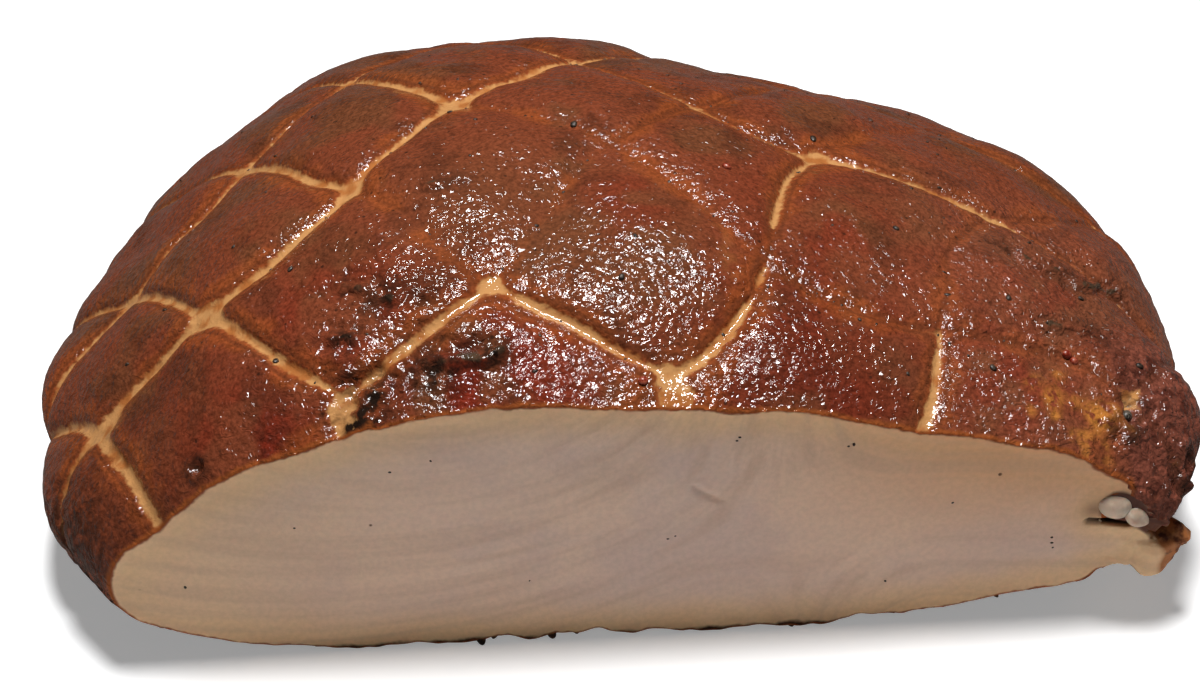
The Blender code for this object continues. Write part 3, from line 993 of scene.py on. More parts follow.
breast.data.polygons.foreach_set("use_smooth", np.ones(len(quads), dtype=bool))
breast.data.update()
print(len(values), "attributes,", int(meat_faces.sum()), "faces of bare meat")


# %% [markdown]
# ## Tools for the finishes
# A finish is a small network of nodes. A few helpers keep each one short: one adds a node and fills its
# inputs, the others add the kinds that come back all the time. Effects that both finishes share are node
# groups with named inputs and outputs, built once and placed in each material with its own values.

# %% Node helpers
def srgb(red, green, blue):
    """A colour judged from 0 to 255, as the linear values that a shader takes."""
    share = [c / 255 for c in (red, green, blue)]
    return tuple(c / 12.92 if c <= 0.04045 else ((c + 0.055) / 1.055) ** 2.4 for c in share) + (1.0,)


def add_node(tree, kind, inputs=None, **settings):
    """Add a node, then link each input that is given as a socket and set each that is given as a value."""
    node = tree.nodes.new(kind)
    for name, value in settings.items():
        setattr(node, name, value)
    for socket, value in (inputs or {}).items():
        if isinstance(value, bpy.types.NodeSocket):
            tree.links.new(value, node.inputs[socket])
        else:
            node.inputs[socket].default_value = value
    return node


def calc(tree, operation, first, second=0.0):
    return add_node(tree, "ShaderNodeMath", {0: first, 1: second}, operation=operation).outputs[0]


def times(tree, first, second):
    return calc(tree, "MULTIPLY", first, second)


def plus(tree, first, second):
    return calc(tree, "ADD", first, second)


def shifted(tree, place, by, operation="ADD"):
    return add_node(tree, "ShaderNodeVectorMath", {0: place, 1: by}, operation=operation).outputs[0]


def scaled(tree, place, by):
    return add_node(tree, "ShaderNodeVectorMath", {0: place, "Scale": by}, operation="SCALE").outputs[0]


def ramp(tree, value, low, high, start=0.0, end=1.0):
    """A smooth rise from start to end while the value goes from low to high."""
    inputs = {"Value": value, "From Min": low, "From Max": high, "To Min": start, "To Max": end}
    return add_node(tree, "ShaderNodeMapRange", inputs, interpolation_type="SMOOTHSTEP").outputs["Result"]


def tint(tree, share, base, over, blend="MIX"):
    """One colour laid over another by a share from 0 to 1."""
    inputs = {0: share, 6: base, 7: over}
    return add_node(tree, "ShaderNodeMix", inputs, data_type="RGBA", blend_type=blend).outputs[2]


def cloud(tree, place, size_mm, detail=2.0, roughness=0.5):
    inputs = {"Vector": place, "Scale": 1000.0 / size_mm, "Detail": detail, "Roughness": roughness}
    return add_node(tree, "ShaderNodeTexNoise", inputs).outputs[0]


def to_nearest_dot(tree, place, scale):
    return add_node(tree, "ShaderNodeTexVoronoi", {"Vector": place, "Scale": scale}).outputs["Distance"]


def stored(tree, name):
    return add_node(tree, "ShaderNodeAttribute", attribute_name=name).outputs["Fac"]


def new_group(name, inputs, outputs):
    group = bpy.data.node_groups.new(name, "ShaderNodeTree")
    for label, kind, value in inputs:
        socket = group.interface.new_socket(label, in_out="INPUT", socket_type=kind)
        if value is not None:
            socket.default_value = value
    for label, kind in outputs:
        group.interface.new_socket(label, in_out="OUTPUT", socket_type=kind)
    return group, group.nodes.new("NodeGroupInput"), group.nodes.new("NodeGroupOutput")


def place_group(tree, group, inputs):
    return add_node(tree, "ShaderNodeGroup", inputs, node_tree=group).outputs[0]


def new_material(name, **constants):
    mat = bpy.data.materials.new(name)
    mat.use_nodes = True
    shader = mat.node_tree.nodes["Principled BSDF"]
    for socket, value in constants.items():
        shader.inputs[socket.replace("_", " ")].default_value = value
    return mat, mat.node_tree, shader


def set_bump(tree, shader, height, strength, distance_mm):
    inputs = {"Strength": strength, "Distance": distance_mm * MM, "Height": height}
    tree.links.new(add_node(tree, "ShaderNodeBump", inputs).outputs["Normal"], shader.inputs["Normal"])


# %% [markdown]
# ## Shared effects
# Three effects come back. Blotches are soft patches with a chosen size and edge. Wet bumps are what makes
# the skin sparkle: round droplets, winding ridges of skin between them and a finer roughness, added up to
# one height. The rim tint is the thin brown-orange line where the skin ends and the meat begins.

# %% Blotches
COLOUR = "NodeSocketColor"
NUMBER = "NodeSocketFloat"
PLACE = "NodeSocketVector"


def make_blotches():
    group, enter, leave = new_group(
        "blotches",
        [("Place", PLACE, None), ("Scale", NUMBER, 50.0), ("Low", NUMBER, 0.4), ("High", NUMBER, 0.6)],
        [("Mask", NUMBER)],
    )
    inputs = {"Vector": enter.outputs["Place"], "Scale": enter.outputs["Scale"], "Detail": 3.0, "Roughness": 0.55}
    value = add_node(group, "ShaderNodeTexNoise", inputs).outputs[0]
    mask = ramp(group, value, enter.outputs["Low"], enter.outputs["High"])
    group.links.new(mask, leave.inputs["Mask"])
    return group


blotches = make_blotches()


def patch(tree, place, size_mm, low, high):
    return place_group(tree, blotches, {"Place": place, "Scale": 1000.0 / size_mm, "Low": low, "High": high})


print("group:", blotches.name)


# %% Wet bumps
DROPLET_SHIFT = 1.1 * MM
DROPLET_EDGE = (0.75, 0.05)
RIDGE_WINDING = 2.0
FINER_BY = 2.3


def make_wet_bumps():
    group, enter, leave = new_group(
        "wet bumps",
        [("Place", PLACE, None), ("Scale", NUMBER, 850.0),
         ("Dome Share", NUMBER, 0.6), ("Fine Share", NUMBER, 0.35)],
        [("Height", NUMBER)],
    )
    place, scale = enter.outputs["Place"], enter.outputs["Scale"]
    shift = add_node(group, "ShaderNodeTexNoise", {"Vector": place, "Scale": scale, "Detail": 1.0}).outputs[1]
    shift = scaled(group, shifted(group, shift, (0.5, 0.5, 0.5), "SUBTRACT"), DROPLET_SHIFT)
    domes = ramp(group, to_nearest_dot(group, shifted(group, place, shift), scale), *DROPLET_EDGE)
    inputs = {"Vector": place, "Scale": scale, "Detail": 1.0, "Distortion": RIDGE_WINDING}
    ridges = add_node(group, "ShaderNodeTexNoise", inputs).outputs[0]
    inputs = {"Vector": place, "Scale": times(group, scale, FINER_BY), "Detail": 2.0}
    fine = add_node(group, "ShaderNodeTexNoise", inputs).outputs[0]
    height = plus(group, ridges, times(group, domes, enter.outputs["Dome Share"]))
    height = plus(group, height, times(group, fine, enter.outputs["Fine Share"]))
    group.links.new(height, leave.inputs["Height"])
    return group


wet_bumps = make_wet_bumps()
print("group:", wet_bumps.name)


# %% Rim tint
RIM_RAG_MM = 2.4
RIM_RAG = 1.2


def make_rim_tint():
    group, enter, leave = new_group(
        "rim tint",
        [("From Rim", NUMBER, 0.0), ("Place", PLACE, None), ("Base", COLOUR, None), ("Rim", COLOUR, None),
         ("Meat Reach", NUMBER, 0.5), ("Skin Reach", NUMBER, 1.2)],
        [("Color", COLOUR)],
    )
    rag = calc(group, "SUBTRACT", cloud(group, enter.outputs["Place"], RIM_RAG_MM), 0.5)
    ragged = plus(group, enter.outputs["From Rim"], times(group, rag, RIM_RAG))
    in_meat = calc(group, "DIVIDE", times(group, ragged, -1.0), enter.outputs["Meat Reach"])
    in_skin = calc(group, "DIVIDE", ragged, enter.outputs["Skin Reach"])
    share = ramp(group, calc(group, "MAXIMUM", in_meat, in_skin), 1.0, 0.1)
    group.links.new(tint(group, share, enter.outputs["Base"], enter.outputs["Rim"]), leave.inputs["Color"])
    return group


rim_tint = make_rim_tint()
print("group:", rim_tint.name)


# %% [markdown]
# ## Smoked skin
# The skin is mahogany where the smoke lay evenly, olive-brown where juice pooled and dried, and red where
# the brine shows through. Beside a cord it turns amber, and the channel floor is the colour of pale skin.
# The colour is built up like paint: each stored value lays its own colour over what is there, from the
# widest patches to the smallest marks. It is wet all over, so the colour matters less than the sparkle: a
# low roughness and many small bumps break the light into points.

# %% Colours of the skin
MAHOGANY = srgb(124, 62, 39)
DEEP_RED = srgb(122, 36, 22)
OLIVE_BROWN = srgb(106, 66, 41)
# Dry brown also serves as painted shade beside the cords and at the thick end.
DRY_BROWN_AND_SHADE = srgb(84, 44, 28)
# Soot also serves as painted shade in grooves, in the lump's pit, low on the thick end and along the cleft.
SOOT_AND_SHADE = srgb(40, 27, 20)
SCAB_BROWN = srgb(82, 62, 46)
AMBER = srgb(158, 80, 36)
CORD_TAN = srgb(196, 142, 88)
CORD_SHADE = srgb(170, 104, 54)
FAT_YELLOW = srgb(202, 130, 56)
THIN_END_BROWN = srgb(142, 80, 58)
LUMP_BROWN = srgb(130, 72, 56)
LUMP_DARK = srgb(86, 44, 34)
UNDERSIDE_SHADE = srgb(58, 34, 24)
RIM_BROWN = srgb(148, 78, 38)
SKIN_LAYERS = (
    ("olive", 1.0, OLIVE_BROWN), ("redness", 1.0, DEEP_RED), ("dried_and_shaded", 0.55, DRY_BROWN_AND_SHADE),
    ("glow", 0.5, AMBER), ("coarse", 0.5, THIN_END_BROWN),
)


# %% Layers of the skin's colour
GRAIN_MM = 0.9
SHADE_BESIDE_CORD = 2.3
CORD_EDGE_WANDER = 1.9
CORD_COLOUR_EDGE = (1.45, 0.65)
DOTS_PER_METRE = 210.0


def lay(tree, colour, name, share, over):
    """Lay a colour over another where a stored value is high."""
    return tint(tree, times(tree, stored(tree, name), share), colour, over)


def patchy(tree, place, name, size_mm, low, high):
    """A stored value that is broken into patches, as soot, painted shade and fat are."""
    return times(tree, stored(tree, name), patch(tree, place, size_mm, low, high))


def plain_skin(tree, place):
    colour = MAHOGANY
    for name, share, over in SKIN_LAYERS:
        colour = lay(tree, colour, name, share, over)
    on_lump = tint(tree, patch(tree, place, 3.5, 0.45, 0.65), LUMP_BROWN, LUMP_DARK)
    colour = tint(tree, stored(tree, "lump"), colour, on_lump)
    grain = cloud(tree, place, GRAIN_MM, 3.0, 0.65)
    return tint(tree, 0.8, colour, ramp(tree, grain, 0.25, 0.75, 0.5, 1.35), "MULTIPLY")


def cord_share(tree, place):
    """1 on the pale print of a cord, with an uneven edge."""
    wander = times(tree, calc(tree, "SUBTRACT", cloud(tree, place, 1.5, 3.0), 0.5), CORD_EDGE_WANDER)
    return ramp(tree, plus(tree, stored(tree, "cord"), wander), *CORD_COLOUR_EDGE)


def printed_skin(tree, on_cord, colour):
    # A band of painted shade beside each cord, where the pillows overhang its channel.
    beside = calc(tree, "ABSOLUTE", calc(tree, "SUBTRACT", stored(tree, "cord"), SHADE_BESIDE_CORD))
    colour = tint(tree, ramp(tree, beside, 0.9, 0.1, 0.0, 0.45), colour, DRY_BROWN_AND_SHADE)
    colour = tint(tree, on_cord, colour, tint(tree, stored(tree, "cord_shade"), CORD_TAN, CORD_SHADE))
    return lay(tree, colour, "faint_print", 0.8, CORD_SHADE)


def marked_skin(tree, place, on_cord, colour):
    colour = tint(tree, patchy(tree, place, "fat", 2.6, 0.36, 0.52), colour, FAT_YELLOW)
    scabbed = patchy(tree, place, "scab", 1.6, 0.25, 0.45)
    colour = tint(tree, ramp(tree, scabbed, 0.2, 0.6), colour, SCAB_BROWN)
    # Soot where the skin charred, and painted shade in the wrinkles' grooves, low on the thick end and on the
    # lump.
    colour = tint(tree, patchy(tree, place, "scorch_and_shade", 2.2, 0.32, 0.58), colour, SOOT_AND_SHADE)
    # Painted shade along the cleft.
    colour = lay(tree, colour, "cleft_shade", 0.9, SOOT_AND_SHADE)
    dots = ramp(tree, to_nearest_dot(tree, place, DOTS_PER_METRE), 0.11, 0.05, 0.0, 0.7)
    colour = tint(tree, times(tree, dots, calc(tree, "SUBTRACT", 1.0, on_cord)), colour, SOOT_AND_SHADE)
    # Painted shade over the low skin and the skin that turns under.
    return lay(tree, colour, "underside", 0.9, UNDERSIDE_SHADE)


# %% The skin's material
ROUGHNESS_WET = 0.06
ROUGHNESS_MATT = 0.17
BUMPS_PER_METRE = 490.0
BUMP_MM = 0.27
ON_CORD_FLATTER = 0.45
DRY_STEEPER = 1.3
BEADED_STEEPER = 1.1
COARSE_STEEPER = 1.7


def make_smoked_skin():
    mat, tree, shader = new_material("smoked_skin", IOR=1.5, Specular_IOR_Level=0.42)
    place = add_node(tree, "ShaderNodeTexCoord").outputs["Object"]
    on_cord = cord_share(tree, place)
    colour = printed_skin(tree, on_cord, plain_skin(tree, place))
    colour = marked_skin(tree, place, on_cord, colour)
    rimmed = place_group(tree, rim_tint, {
        "From Rim": stored(tree, "from_rim"), "Place": place, "Base": colour, "Rim": RIM_BROWN,
        "Meat Reach": 0.5, "Skin Reach": 1.1,
    })
    tree.links.new(rimmed, shader.inputs["Base Color"])
    roughness = ramp(tree, stored(tree, "matt"), 0.0, 1.0, ROUGHNESS_WET, ROUGHNESS_MATT)
    tree.links.new(roughness, shader.inputs["Roughness"])
    height = place_group(tree, wet_bumps, {"Place": place, "Scale": BUMPS_PER_METRE, "Fine Share": 0.45})
    height = times(tree, height, ramp(tree, stored(tree, "cord"), 0.8, 2.0, ON_CORD_FLATTER, 1.0))
    height = times(tree, height, ramp(tree, stored(tree, "beaded"), 0.1, 0.6, DRY_STEEPER, BEADED_STEEPER))
    height = times(tree, height, ramp(tree, stored(tree, "coarse"), 0.0, 1.0, 1.0, COARSE_STEEPER))
    set_bump(tree, shader, height, 1.0, BUMP_MM)
    return mat


smoked_skin = make_smoked_skin()
print("skin finish of", len(smoked_skin.node_tree.nodes), "nodes")


# %% [markdown]
# ## Sliced meat
# Cooked breast meat is dense and a little translucent: light goes in and comes out again nearby, so it gets
# some subsurface scattering. It is greyish pink in the middle and creamier near the skin and at both ends.
# The fibre bundles, stored as a number along the mesh, tint it in bands and raise very low ridges. The knob
# has a baked crust, and the cleft and the gaps round the beads are darkened as painted shade.

# %% Colours of the meat
PINK_GREY = srgb(230, 197, 174)
CREAM = srgb(234, 194, 150)
WARM_CREAM = srgb(226, 170, 122)
MAUVE = srgb(218, 188, 172)
MEAT_SHADE = srgb(196, 160, 134)
CREVICE_SHADE_BROWN = srgb(98, 60, 46)
KNOB_CRUST = srgb(180, 114, 66)
SPECK_BROWN = srgb(96, 58, 30)
EDGE_BROWN_AND_SHADE = srgb(58, 34, 20)


# %% Layers of the meat's colour
BANDS_PER_FIBRE = 0.2
BAND_WANDER_PER_METRE = 75.0
SPECKS_PER_METRE = 95.0
TORN_UP_TO_MM = (0.2, -0.9)
TORN_RAG_MM = -3.2


def millimetres(tree, place, axis):
    return times(tree, add_node(tree, "ShaderNodeSeparateXYZ", {0: place}).outputs[axis], 1000.0)


def plain_meat(tree, place):
    height_mm = millimetres(tree, place, "Z")
    along_mm = millimetres(tree, place, "X")
    colour = tint(tree, patch(tree, place, 30, 0.4, 0.62), PINK_GREY, MAUVE)
    near_rim = plus(tree, stored(tree, "from_rim"), times(tree, cloud(tree, place, 12.0), 6.0))
    colour = tint(tree, ramp(tree, near_rim, -9.0, 2.0), colour, CREAM)
    colour = tint(tree, ramp(tree, height_mm, 16.0, 2.0, 0.0, 0.5), colour, CREAM)
    colour = tint(tree, ramp(tree, along_mm, -30.0, -100.0, 0.0, 0.75), colour, CREAM)
    warm_along = ramp(tree, along_mm, 10.0, 80.0, 0.0, 0.9)
    warm_up = ramp(tree, height_mm, 16.0, 46.0, 0.12, 1.0)
    return tint(tree, times(tree, warm_along, warm_up), colour, WARM_CREAM)


def fibre_bands(tree, place):
    fibre = times(tree, stored(tree, "fibre"), BANDS_PER_FIBRE)
    bands_at = add_node(tree, "ShaderNodeCombineXYZ", {0: fibre}).outputs[0]
    bands_at = shifted(tree, bands_at, scaled(tree, place, BAND_WANDER_PER_METRE))
    return add_node(tree, "ShaderNodeTexNoise", {"Vector": bands_at, "Scale": 1.0, "Detail": 4.0}).outputs[0]


def marked_meat(tree, place, fine, colour):
    colour = tint(tree, 0.4, colour, ramp(tree, fine, 0.3, 0.7, 0.86, 1.1), "MULTIPLY")
    specks = ramp(tree, to_nearest_dot(tree, place, SPECKS_PER_METRE), 0.055, 0.03)
    colour = tint(tree, times(tree, specks, patch(tree, place, 17, 0.52, 0.6)), colour, SPECK_BROWN)
    colour = lay(tree, colour, "tear", 0.2, MEAT_SHADE)
    torn = plus(tree, millimetres(tree, place, "Z"), times(tree, cloud(tree, place, 5.0, 3.0), TORN_RAG_MM))
    return tint(tree, ramp(tree, torn, *TORN_UP_TO_MM), colour, EDGE_BROWN_AND_SHADE)


def crusted_meat(tree, place, fine, colour):
    crust = tint(tree, patch(tree, place, 3.0, 0.45, 0.65), KNOB_CRUST, DRY_BROWN_AND_SHADE)
    crusted = times(tree, stored(tree, "knob_crust"), ramp(tree, fine, 0.2, 0.5, 1.0, 1.6))
    colour = tint(tree, crusted, colour, crust)
    # Painted shade along the cleft and in its slot.
    colour = tint(tree, stored(tree, "cleft_shade"), colour, EDGE_BROWN_AND_SHADE)
    # Painted shade in the gaps round the beads.
    return tint(tree, stored(tree, "crevice_shade"), colour, CREVICE_SHADE_BROWN)


# %% The meat's material
NO_LIMIT = 200.0


def make_sliced_meat():
    mat, tree, shader = new_material(
        "sliced_meat", IOR=1.42, Specular_IOR_Level=0.35, Subsurface_Weight=0.3, Subsurface_Scale=0.0035,
        Subsurface_Radius=(1.0, 0.5, 0.32),
    )
    place = add_node(tree, "ShaderNodeTexCoord").outputs["Object"]
    fine = cloud(tree, place, 1.3, 3.0, 0.6)
    bands = fibre_bands(tree, place)
    colour = tint(tree, ramp(tree, bands, 0.4, 0.75, 0.0, 0.45), plain_meat(tree, place), MEAT_SHADE)
    colour = crusted_meat(tree, place, fine, marked_meat(tree, place, fine, colour))
    rimmed = place_group(tree, rim_tint, {
        "From Rim": stored(tree, "from_rim"), "Place": place, "Base": colour, "Rim": RIM_BROWN,
        "Meat Reach": 0.7, "Skin Reach": NO_LIMIT,
    })
    rimmed = tint(tree, ramp(tree, stored(tree, "bare"), 0.2, 0.5), rimmed, colour)
    tree.links.new(rimmed, shader.inputs["Base Color"])
    tree.links.new(ramp(tree, fine, 0.3, 0.7, 0.38, 0.55), shader.inputs["Roughness"])
    set_bump(tree, shader, plus(tree, bands, times(tree, fine, 0.25)), 0.8, 0.25)
    return mat


sliced_meat = make_sliced_meat()
print("meat finish of", len(sliced_meat.node_tree.nodes), "nodes")


# %% Dress the breast
MEAT_SLOT = 1
breast.data.materials.clear()
breast.data.materials.append(smoked_skin)
breast.data.materials.append(sliced_meat)
breast.data.polygons.foreach_set("material_index", np.where(meat_faces, MEAT_SLOT, 0).astype(np.int32))
breast.data.update()
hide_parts(BREAST)
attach(breast, "root")
print(breast.name, "replaces", BREAST, "with", len(breast.data.materials), "finishes")


# %% [markdown]
# ## Small things on the skin
# Pepper from the brine, a seed and some reddish spice sit on the skin, two beads of fat and gristle show in
# the cleft at the thin end, and dried scraps hang on the lower edge. Each kind is one joined mesh of lumps.
# Every lump is a small ball that is squashed and dented, turned to lie flat on the skin and sunk into it.

# %% Lumps that lie on the skin
def on_skin(spot):
    """The nearest point of the finished skin to a spot, and the skin's normal there."""
    hit, place, normal, _face = breast.closest_point_on_mesh((Vector(spot) + Vector(BREAST_TO_FRAME)) * MM)
    return place, normal


def add_lump(bm, place, normal, size, dents, rng, rounds=2):
    """One dented ball of the given half sizes in millimetres, with its short axis along the normal."""
    made = bmesh.ops.create_icosphere(bm, subdivisions=rounds, radius=1.0)["verts"]
    turn = normal.to_track_quat("Z", "Y").to_matrix() @ Matrix.Rotation(rng.uniform(0, 2 * math.pi), 3, "Z")
    pushes = [(Vector(rng.normal(size=3)).normalized(), rng.uniform(-dents, dents)) for _ in range(6)]
    for vert in made:
        ball = vert.co.normalized()
        reach = 1 + sum(push * max(0, ball.dot(way)) ** 3 for way, push in pushes)
        flat = Vector([half * value * reach * MM for half, value in zip(size, ball)])
        vert.co = place + turn @ flat


def finish_piece(bm, name, material):
    for face in bm.faces:
        face.smooth = True
    mesh = bpy.data.meshes.new(name)
    bm.to_mesh(mesh)
    bm.free()
    mesh.materials.append(material)
    obj = bpy.data.objects.new(name, mesh)
    bpy.context.scene.collection.objects.link(obj)
    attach(obj, "root")
    print(name, "has", len(mesh.polygons), "faces")
    return obj


def speckled(name, dark, light, size_mm, roughness, bump_mm, **constants):
    """A finish of two colours in patches, rougher where it is lighter, with fine bumps."""
    mat, tree, shader = new_material(name, **constants)
    place = add_node(tree, "ShaderNodeTexCoord").outputs["Object"]
    mask = patch(tree, place, size_mm, 0.4, 0.6)
    tree.links.new(tint(tree, mask, dark, light), shader.inputs["Base Color"])
    tree.links.new(ramp(tree, mask, 0.0, 1.0, roughness, roughness + 0.15), shader.inputs["Roughness"])
    height = place_group(tree, wet_bumps, {"Place": place, "Scale": 1000.0 / size_mm, "Fine Share": 0.6})
    set_bump(tree, shader, height, 0.7, bump_mm)
    return mat


# %% Pepper
PEPPERCORNS = (
    (-62.6, 19.5, 59.9), (-60, 40, 68), (-27.5, 84, 76), (5.6, 24.5, 74.2), (-0.5, 75, 76), (51, 81, 67.1),
    (64.4, 48.5, 66.6), (86, 33, 60), (103, 41, 51), (78, 15, 54), (-90, 52, 53), (112, 24, 46),
)
CUT_SPECKS = (
    (26.6, 52.8), (26.1, 51.9), (48, 49.2), (49, 49.6), (91.4, 22.1), (92, 19.3), (91.6, 20.6), (-60.7, 34.6),
    (13, 26.8), (14.5, 27.5), (-41, 48), (-33, 50.5), (70, 33), (-84, 20), (58, 12), (-15, 17),
)
SCATTERED_FLECKS = 150
FLECKS_KEEP_FROM_CUT = 1.5

rng = np.random.default_rng(7)
bm = bmesh.new()
for spot in PEPPERCORNS:
    place, normal = on_skin(spot)
    half = rng.uniform(0.5, 0.8)
    add_lump(bm, place + normal * 0.1 * MM, normal, (half * 1.2, half * 0.9, half * 0.6), 0.3, rng, 3)
for _ in range(SCATTERED_FLECKS):
    along = -105 + 220 * rng.beta(1.6, 1.1)
    place, normal = on_skin((along, rng.uniform(2, 130), rng.uniform(25, 80)))
    if place.y / MM - BREAST_TO_FRAME[1] < FLECKS_KEEP_FROM_CUT or normal.z < -0.1:
        continue
    half = rng.uniform(0.18, 0.42)
    add_lump(bm, place, normal, (half * rng.uniform(1, 1.8), half, half * 0.6), 0.35, rng, 2)
for along, high in CUT_SPECKS:
    place, normal = on_skin((along, 0, high))
    half = rng.uniform(0.16, 0.3)
    add_lump(bm, place, normal, (half * 1.3, half, half * 0.4), 0.35, rng, 2)
finish_piece(bm, "pepper", speckled("cracked_pepper", srgb(24, 18, 14), srgb(70, 52, 38), 0.5, 0.35, 0.06))


# %% Red spice and the seed
SPICE = ((95.5, 23.7, 50.4), (97.1, 22.1, 49.0), (8, 6, 62), (30, 60, 76))
SPICE_SIZE = (1.0, 0.85, 0.7)
SEED = (104.7, 12.1, 42.5)
SEED_SIZE = (1.7, 1.2, 0.95)

bm = bmesh.new()
for spot in SPICE:
    place, normal = on_skin(spot)
    add_lump(bm, place + normal * 0.2 * MM, normal, SPICE_SIZE, 0.2, rng, 3)
finish_piece(bm, "red_spice", speckled("red_spice", srgb(120, 34, 20), srgb(168, 84, 60), 0.8, 0.2, 0.05))

bm = bmesh.new()
place, normal = on_skin(SEED)
add_lump(bm, place + normal * 0.25 * MM, normal, SEED_SIZE, 0.08, rng, 3)
finish_piece(bm, "seed", speckled("seed_husk", srgb(34, 30, 26), srgb(110, 100, 88), 0.4, 0.25, 0.04))


# %% Beads of fat
FAT_CHUNKS = (((103.9, 1.4, 30.5), (3.9, 4.3, 3.0)), ((108.4, -0.9, 28.0), (2.1, 2.5, 2.2)))
BEADS_FACE = (0.1, -1, 0.15)

cartilage = speckled("fat_and_gristle", srgb(196, 170, 148), srgb(212, 190, 168), 2.4, 0.3, 0.08,
                     Subsurface_Weight=0.4, Subsurface_Scale=0.003)
bm = bmesh.new()
for centre, half in FAT_CHUNKS:
    middle = (Vector(centre) + Vector(BREAST_TO_FRAME)) * MM
    add_lump(bm, middle, Vector(BEADS_FACE).normalized(), half, 0.36, rng, 4)
finish_piece(bm, "fat_beads", cartilage)


# %% Torn scraps
# For each scrap: place along the edge, height and half size.
SCRAPS = (
    (-26, 1.6, 1.7), (-22.5, 1.4, 1.1), (-11, 1.2, 1.5), (-6, 1.0, 1.0), (39, 0.8, 1.0),
    (63, 1.0, 1.0), (82, 4.5, 0.9),
)
SCRAPS_DEEP = 1.2
SCRAPS_FACE = (0, -0.4, 1)
LOWEST = 0.05

bm = bmesh.new()
for along, high, half in SCRAPS:
    middle, _normal = on_skin((along, SCRAPS_DEEP, high))
    size = (half * 1.3, half * 0.7, half * 0.55)
    add_lump(bm, middle, Vector(SCRAPS_FACE).normalized(), size, 0.45, rng, 3)
for vert in bm.verts:
    vert.co.z = max(vert.co.z, LOWEST * MM)
finish_piece(bm, "torn_scraps", speckled("dried_scraps", srgb(40, 26, 18), srgb(96, 58, 30), 1.2, 0.35, 0.15))


# %% [markdown]
# ## Floor, light and camera
# The breast lies on a plain pale floor under one soft lamp straight above it, and a white sky that is
# brighter in front than behind fills the shadows. The wet skin mirrors the lamp, so its size sets how crisp
# the sparkle is. A white floor would show in the skin too, so reflected rays see a darker one, and the
# floor glows faintly for the camera, so that its shadow stays light.

# %% Floor
FLOOR_HALF = 4.0
FLOOR_GAP = 0.05
FLOOR_WHITE = (0.92, 0.92, 0.92, 1.0)
FLOOR_MIRRORED = (0.12, 0.10, 0.09, 1.0)
FLOOR_GLOW = (0.3, 0.3, 0.3, 1.0)
NO_GLOW = (0.0, 0.0, 0.0, 1.0)
floor_mesh = bpy.data.meshes.new("floor")
bm = bmesh.new()
bmesh.ops.create_grid(bm, x_segments=1, y_segments=1, size=FLOOR_HALF)
bm.to_mesh(floor_mesh)
bm.free()
floor = bpy.data.objects.new("floor", floor_mesh)
bpy.context.scene.collection.objects.link(floor)
floor_mat, floor_tree, floor_shader = new_material("pale_floor", Roughness=0.9, Specular_IOR_Level=0.1)
rays = add_node(floor_tree, "ShaderNodeLightPath").outputs
floor_colour = tint(floor_tree, rays["Is Glossy Ray"], FLOOR_WHITE, FLOOR_MIRRORED)
floor_tree.links.new(floor_colour, floor_shader.inputs["Base Color"])
floor_glow = tint(floor_tree, rays["Is Camera Ray"], NO_GLOW, FLOOR_GLOW)
floor_tree.links.new(floor_glow, floor_shader.inputs["Emission Color"])
floor_shader.inputs["Emission Strength"].default_value = 1.0
floor_mesh.materials.append(floor_mat)
floor.location.z = -FLOOR_GAP * MM
print("floor of", 2 * FLOOR_HALF, "m")


# %% Sky and lamp
SKY_BACK = 0.05
SKY_FRONT = 0.62
SKY_TOP = 0.74
SKY_TURN = (-0.3, 0.9)
SKY_RISE = (0.15, 1.0)
FRONT = (0.35, -0.94, 0.0)
OVERHEAD_HEIGHT = 0.9
OVERHEAD_BACK = 0.02
OVERHEAD_SIZE = 0.23
OVERHEAD_POWER = 9.7
world = bpy.data.worlds.new("white_sky")
world.use_nodes = True
sky_tree = world.node_tree
sky_place = add_node(sky_tree, "ShaderNodeTexCoord").outputs["Generated"]
sky_height = add_node(sky_tree, "ShaderNodeSeparateXYZ", {0: sky_place}).outputs["Z"]
turn = add_node(sky_tree, "ShaderNodeVectorMath", {0: sky_place, 1: FRONT}, operation="DOT_PRODUCT")
horizon = ramp(sky_tree, turn.outputs["Value"], *SKY_TURN, SKY_BACK, SKY_FRONT)
rise = ramp(sky_tree, sky_height, *SKY_RISE)
low_sky = times(sky_tree, calc(sky_tree, "SUBTRACT", 1.0, rise), horizon)
brightness = plus(sky_tree, times(sky_tree, rise, SKY_TOP), low_sky)
sky_tree.links.new(brightness, sky_tree.nodes["Background"].inputs["Strength"])
bpy.context.scene.world = world


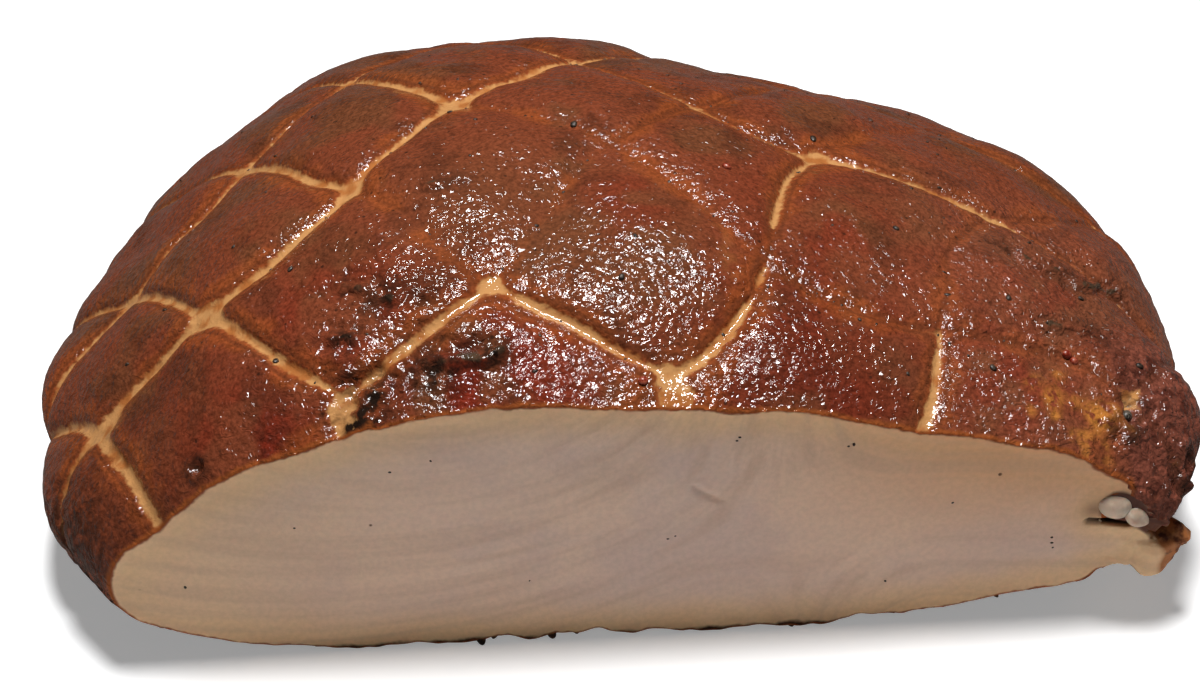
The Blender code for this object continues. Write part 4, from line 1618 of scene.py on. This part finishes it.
lamp_data = bpy.data.lights.new("overhead", "AREA")
lamp_data.shape = "DISK"
lamp_data.size = OVERHEAD_SIZE
lamp_data.energy = OVERHEAD_POWER
lamp = bpy.data.objects.new("overhead", lamp_data)
lamp.location = (0.0, OVERHEAD_BACK, OVERHEAD_HEIGHT)
lamp.rotation_euler = (-lamp.location).to_track_quat("-Z", "Y").to_euler()
bpy.context.scene.collection.objects.link(lamp)
bpy.context.scene.view_settings.view_transform = "Standard"
print("lamp of", OVERHEAD_POWER, "W at", OVERHEAD_HEIGHT, "m")


# %% [markdown]
# ## Camera and end
# The camera looks down on the cut, a little from the left. Its axes are worked out from its angles, so that it
# can be aimed at a point of the breast and rolled.

# %% Camera
CAMERA_ELEVATION = math.radians(38.0)
CAMERA_YAW = math.radians(3.0)
CAMERA_ROLL = math.radians(-0.7)
CAMERA_DISTANCE = 446.0 * MM
CAMERA_AIM = (Vector((3.0, 60.0, 29.0)) + Vector(BREAST_TO_FRAME)) * MM
LENS_MM = 60.0
SENSOR_MM = 36.0
NEAREST = 0.01
towards = Vector((
    -math.sin(CAMERA_YAW) * math.cos(CAMERA_ELEVATION),
    -math.cos(CAMERA_YAW) * math.cos(CAMERA_ELEVATION),
    math.sin(CAMERA_ELEVATION),
))
level = (-towards).cross(Vector((0, 0, 1))).normalized()
upward = level.cross(-towards).normalized()
right = level * math.cos(CAMERA_ROLL) + upward * math.sin(CAMERA_ROLL)
top = upward * math.cos(CAMERA_ROLL) - level * math.sin(CAMERA_ROLL)
camera_data = bpy.data.cameras.new("camera")
camera_data.lens = LENS_MM
camera_data.sensor_width = SENSOR_MM
camera_data.clip_start = NEAREST
camera = bpy.data.objects.new("camera", camera_data)
camera.matrix_world = Matrix.Translation(CAMERA_AIM + towards * CAMERA_DISTANCE) @ Matrix(
    (right, top, towards)).transposed().to_4x4()
bpy.context.scene.collection.objects.link(camera)
bpy.context.scene.camera = camera
print("camera", round(CAMERA_DISTANCE, 3), "m from", [round(v, 3) for v in CAMERA_AIM])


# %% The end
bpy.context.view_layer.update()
print("the scene took", round(time.time() - started, 1), "s")
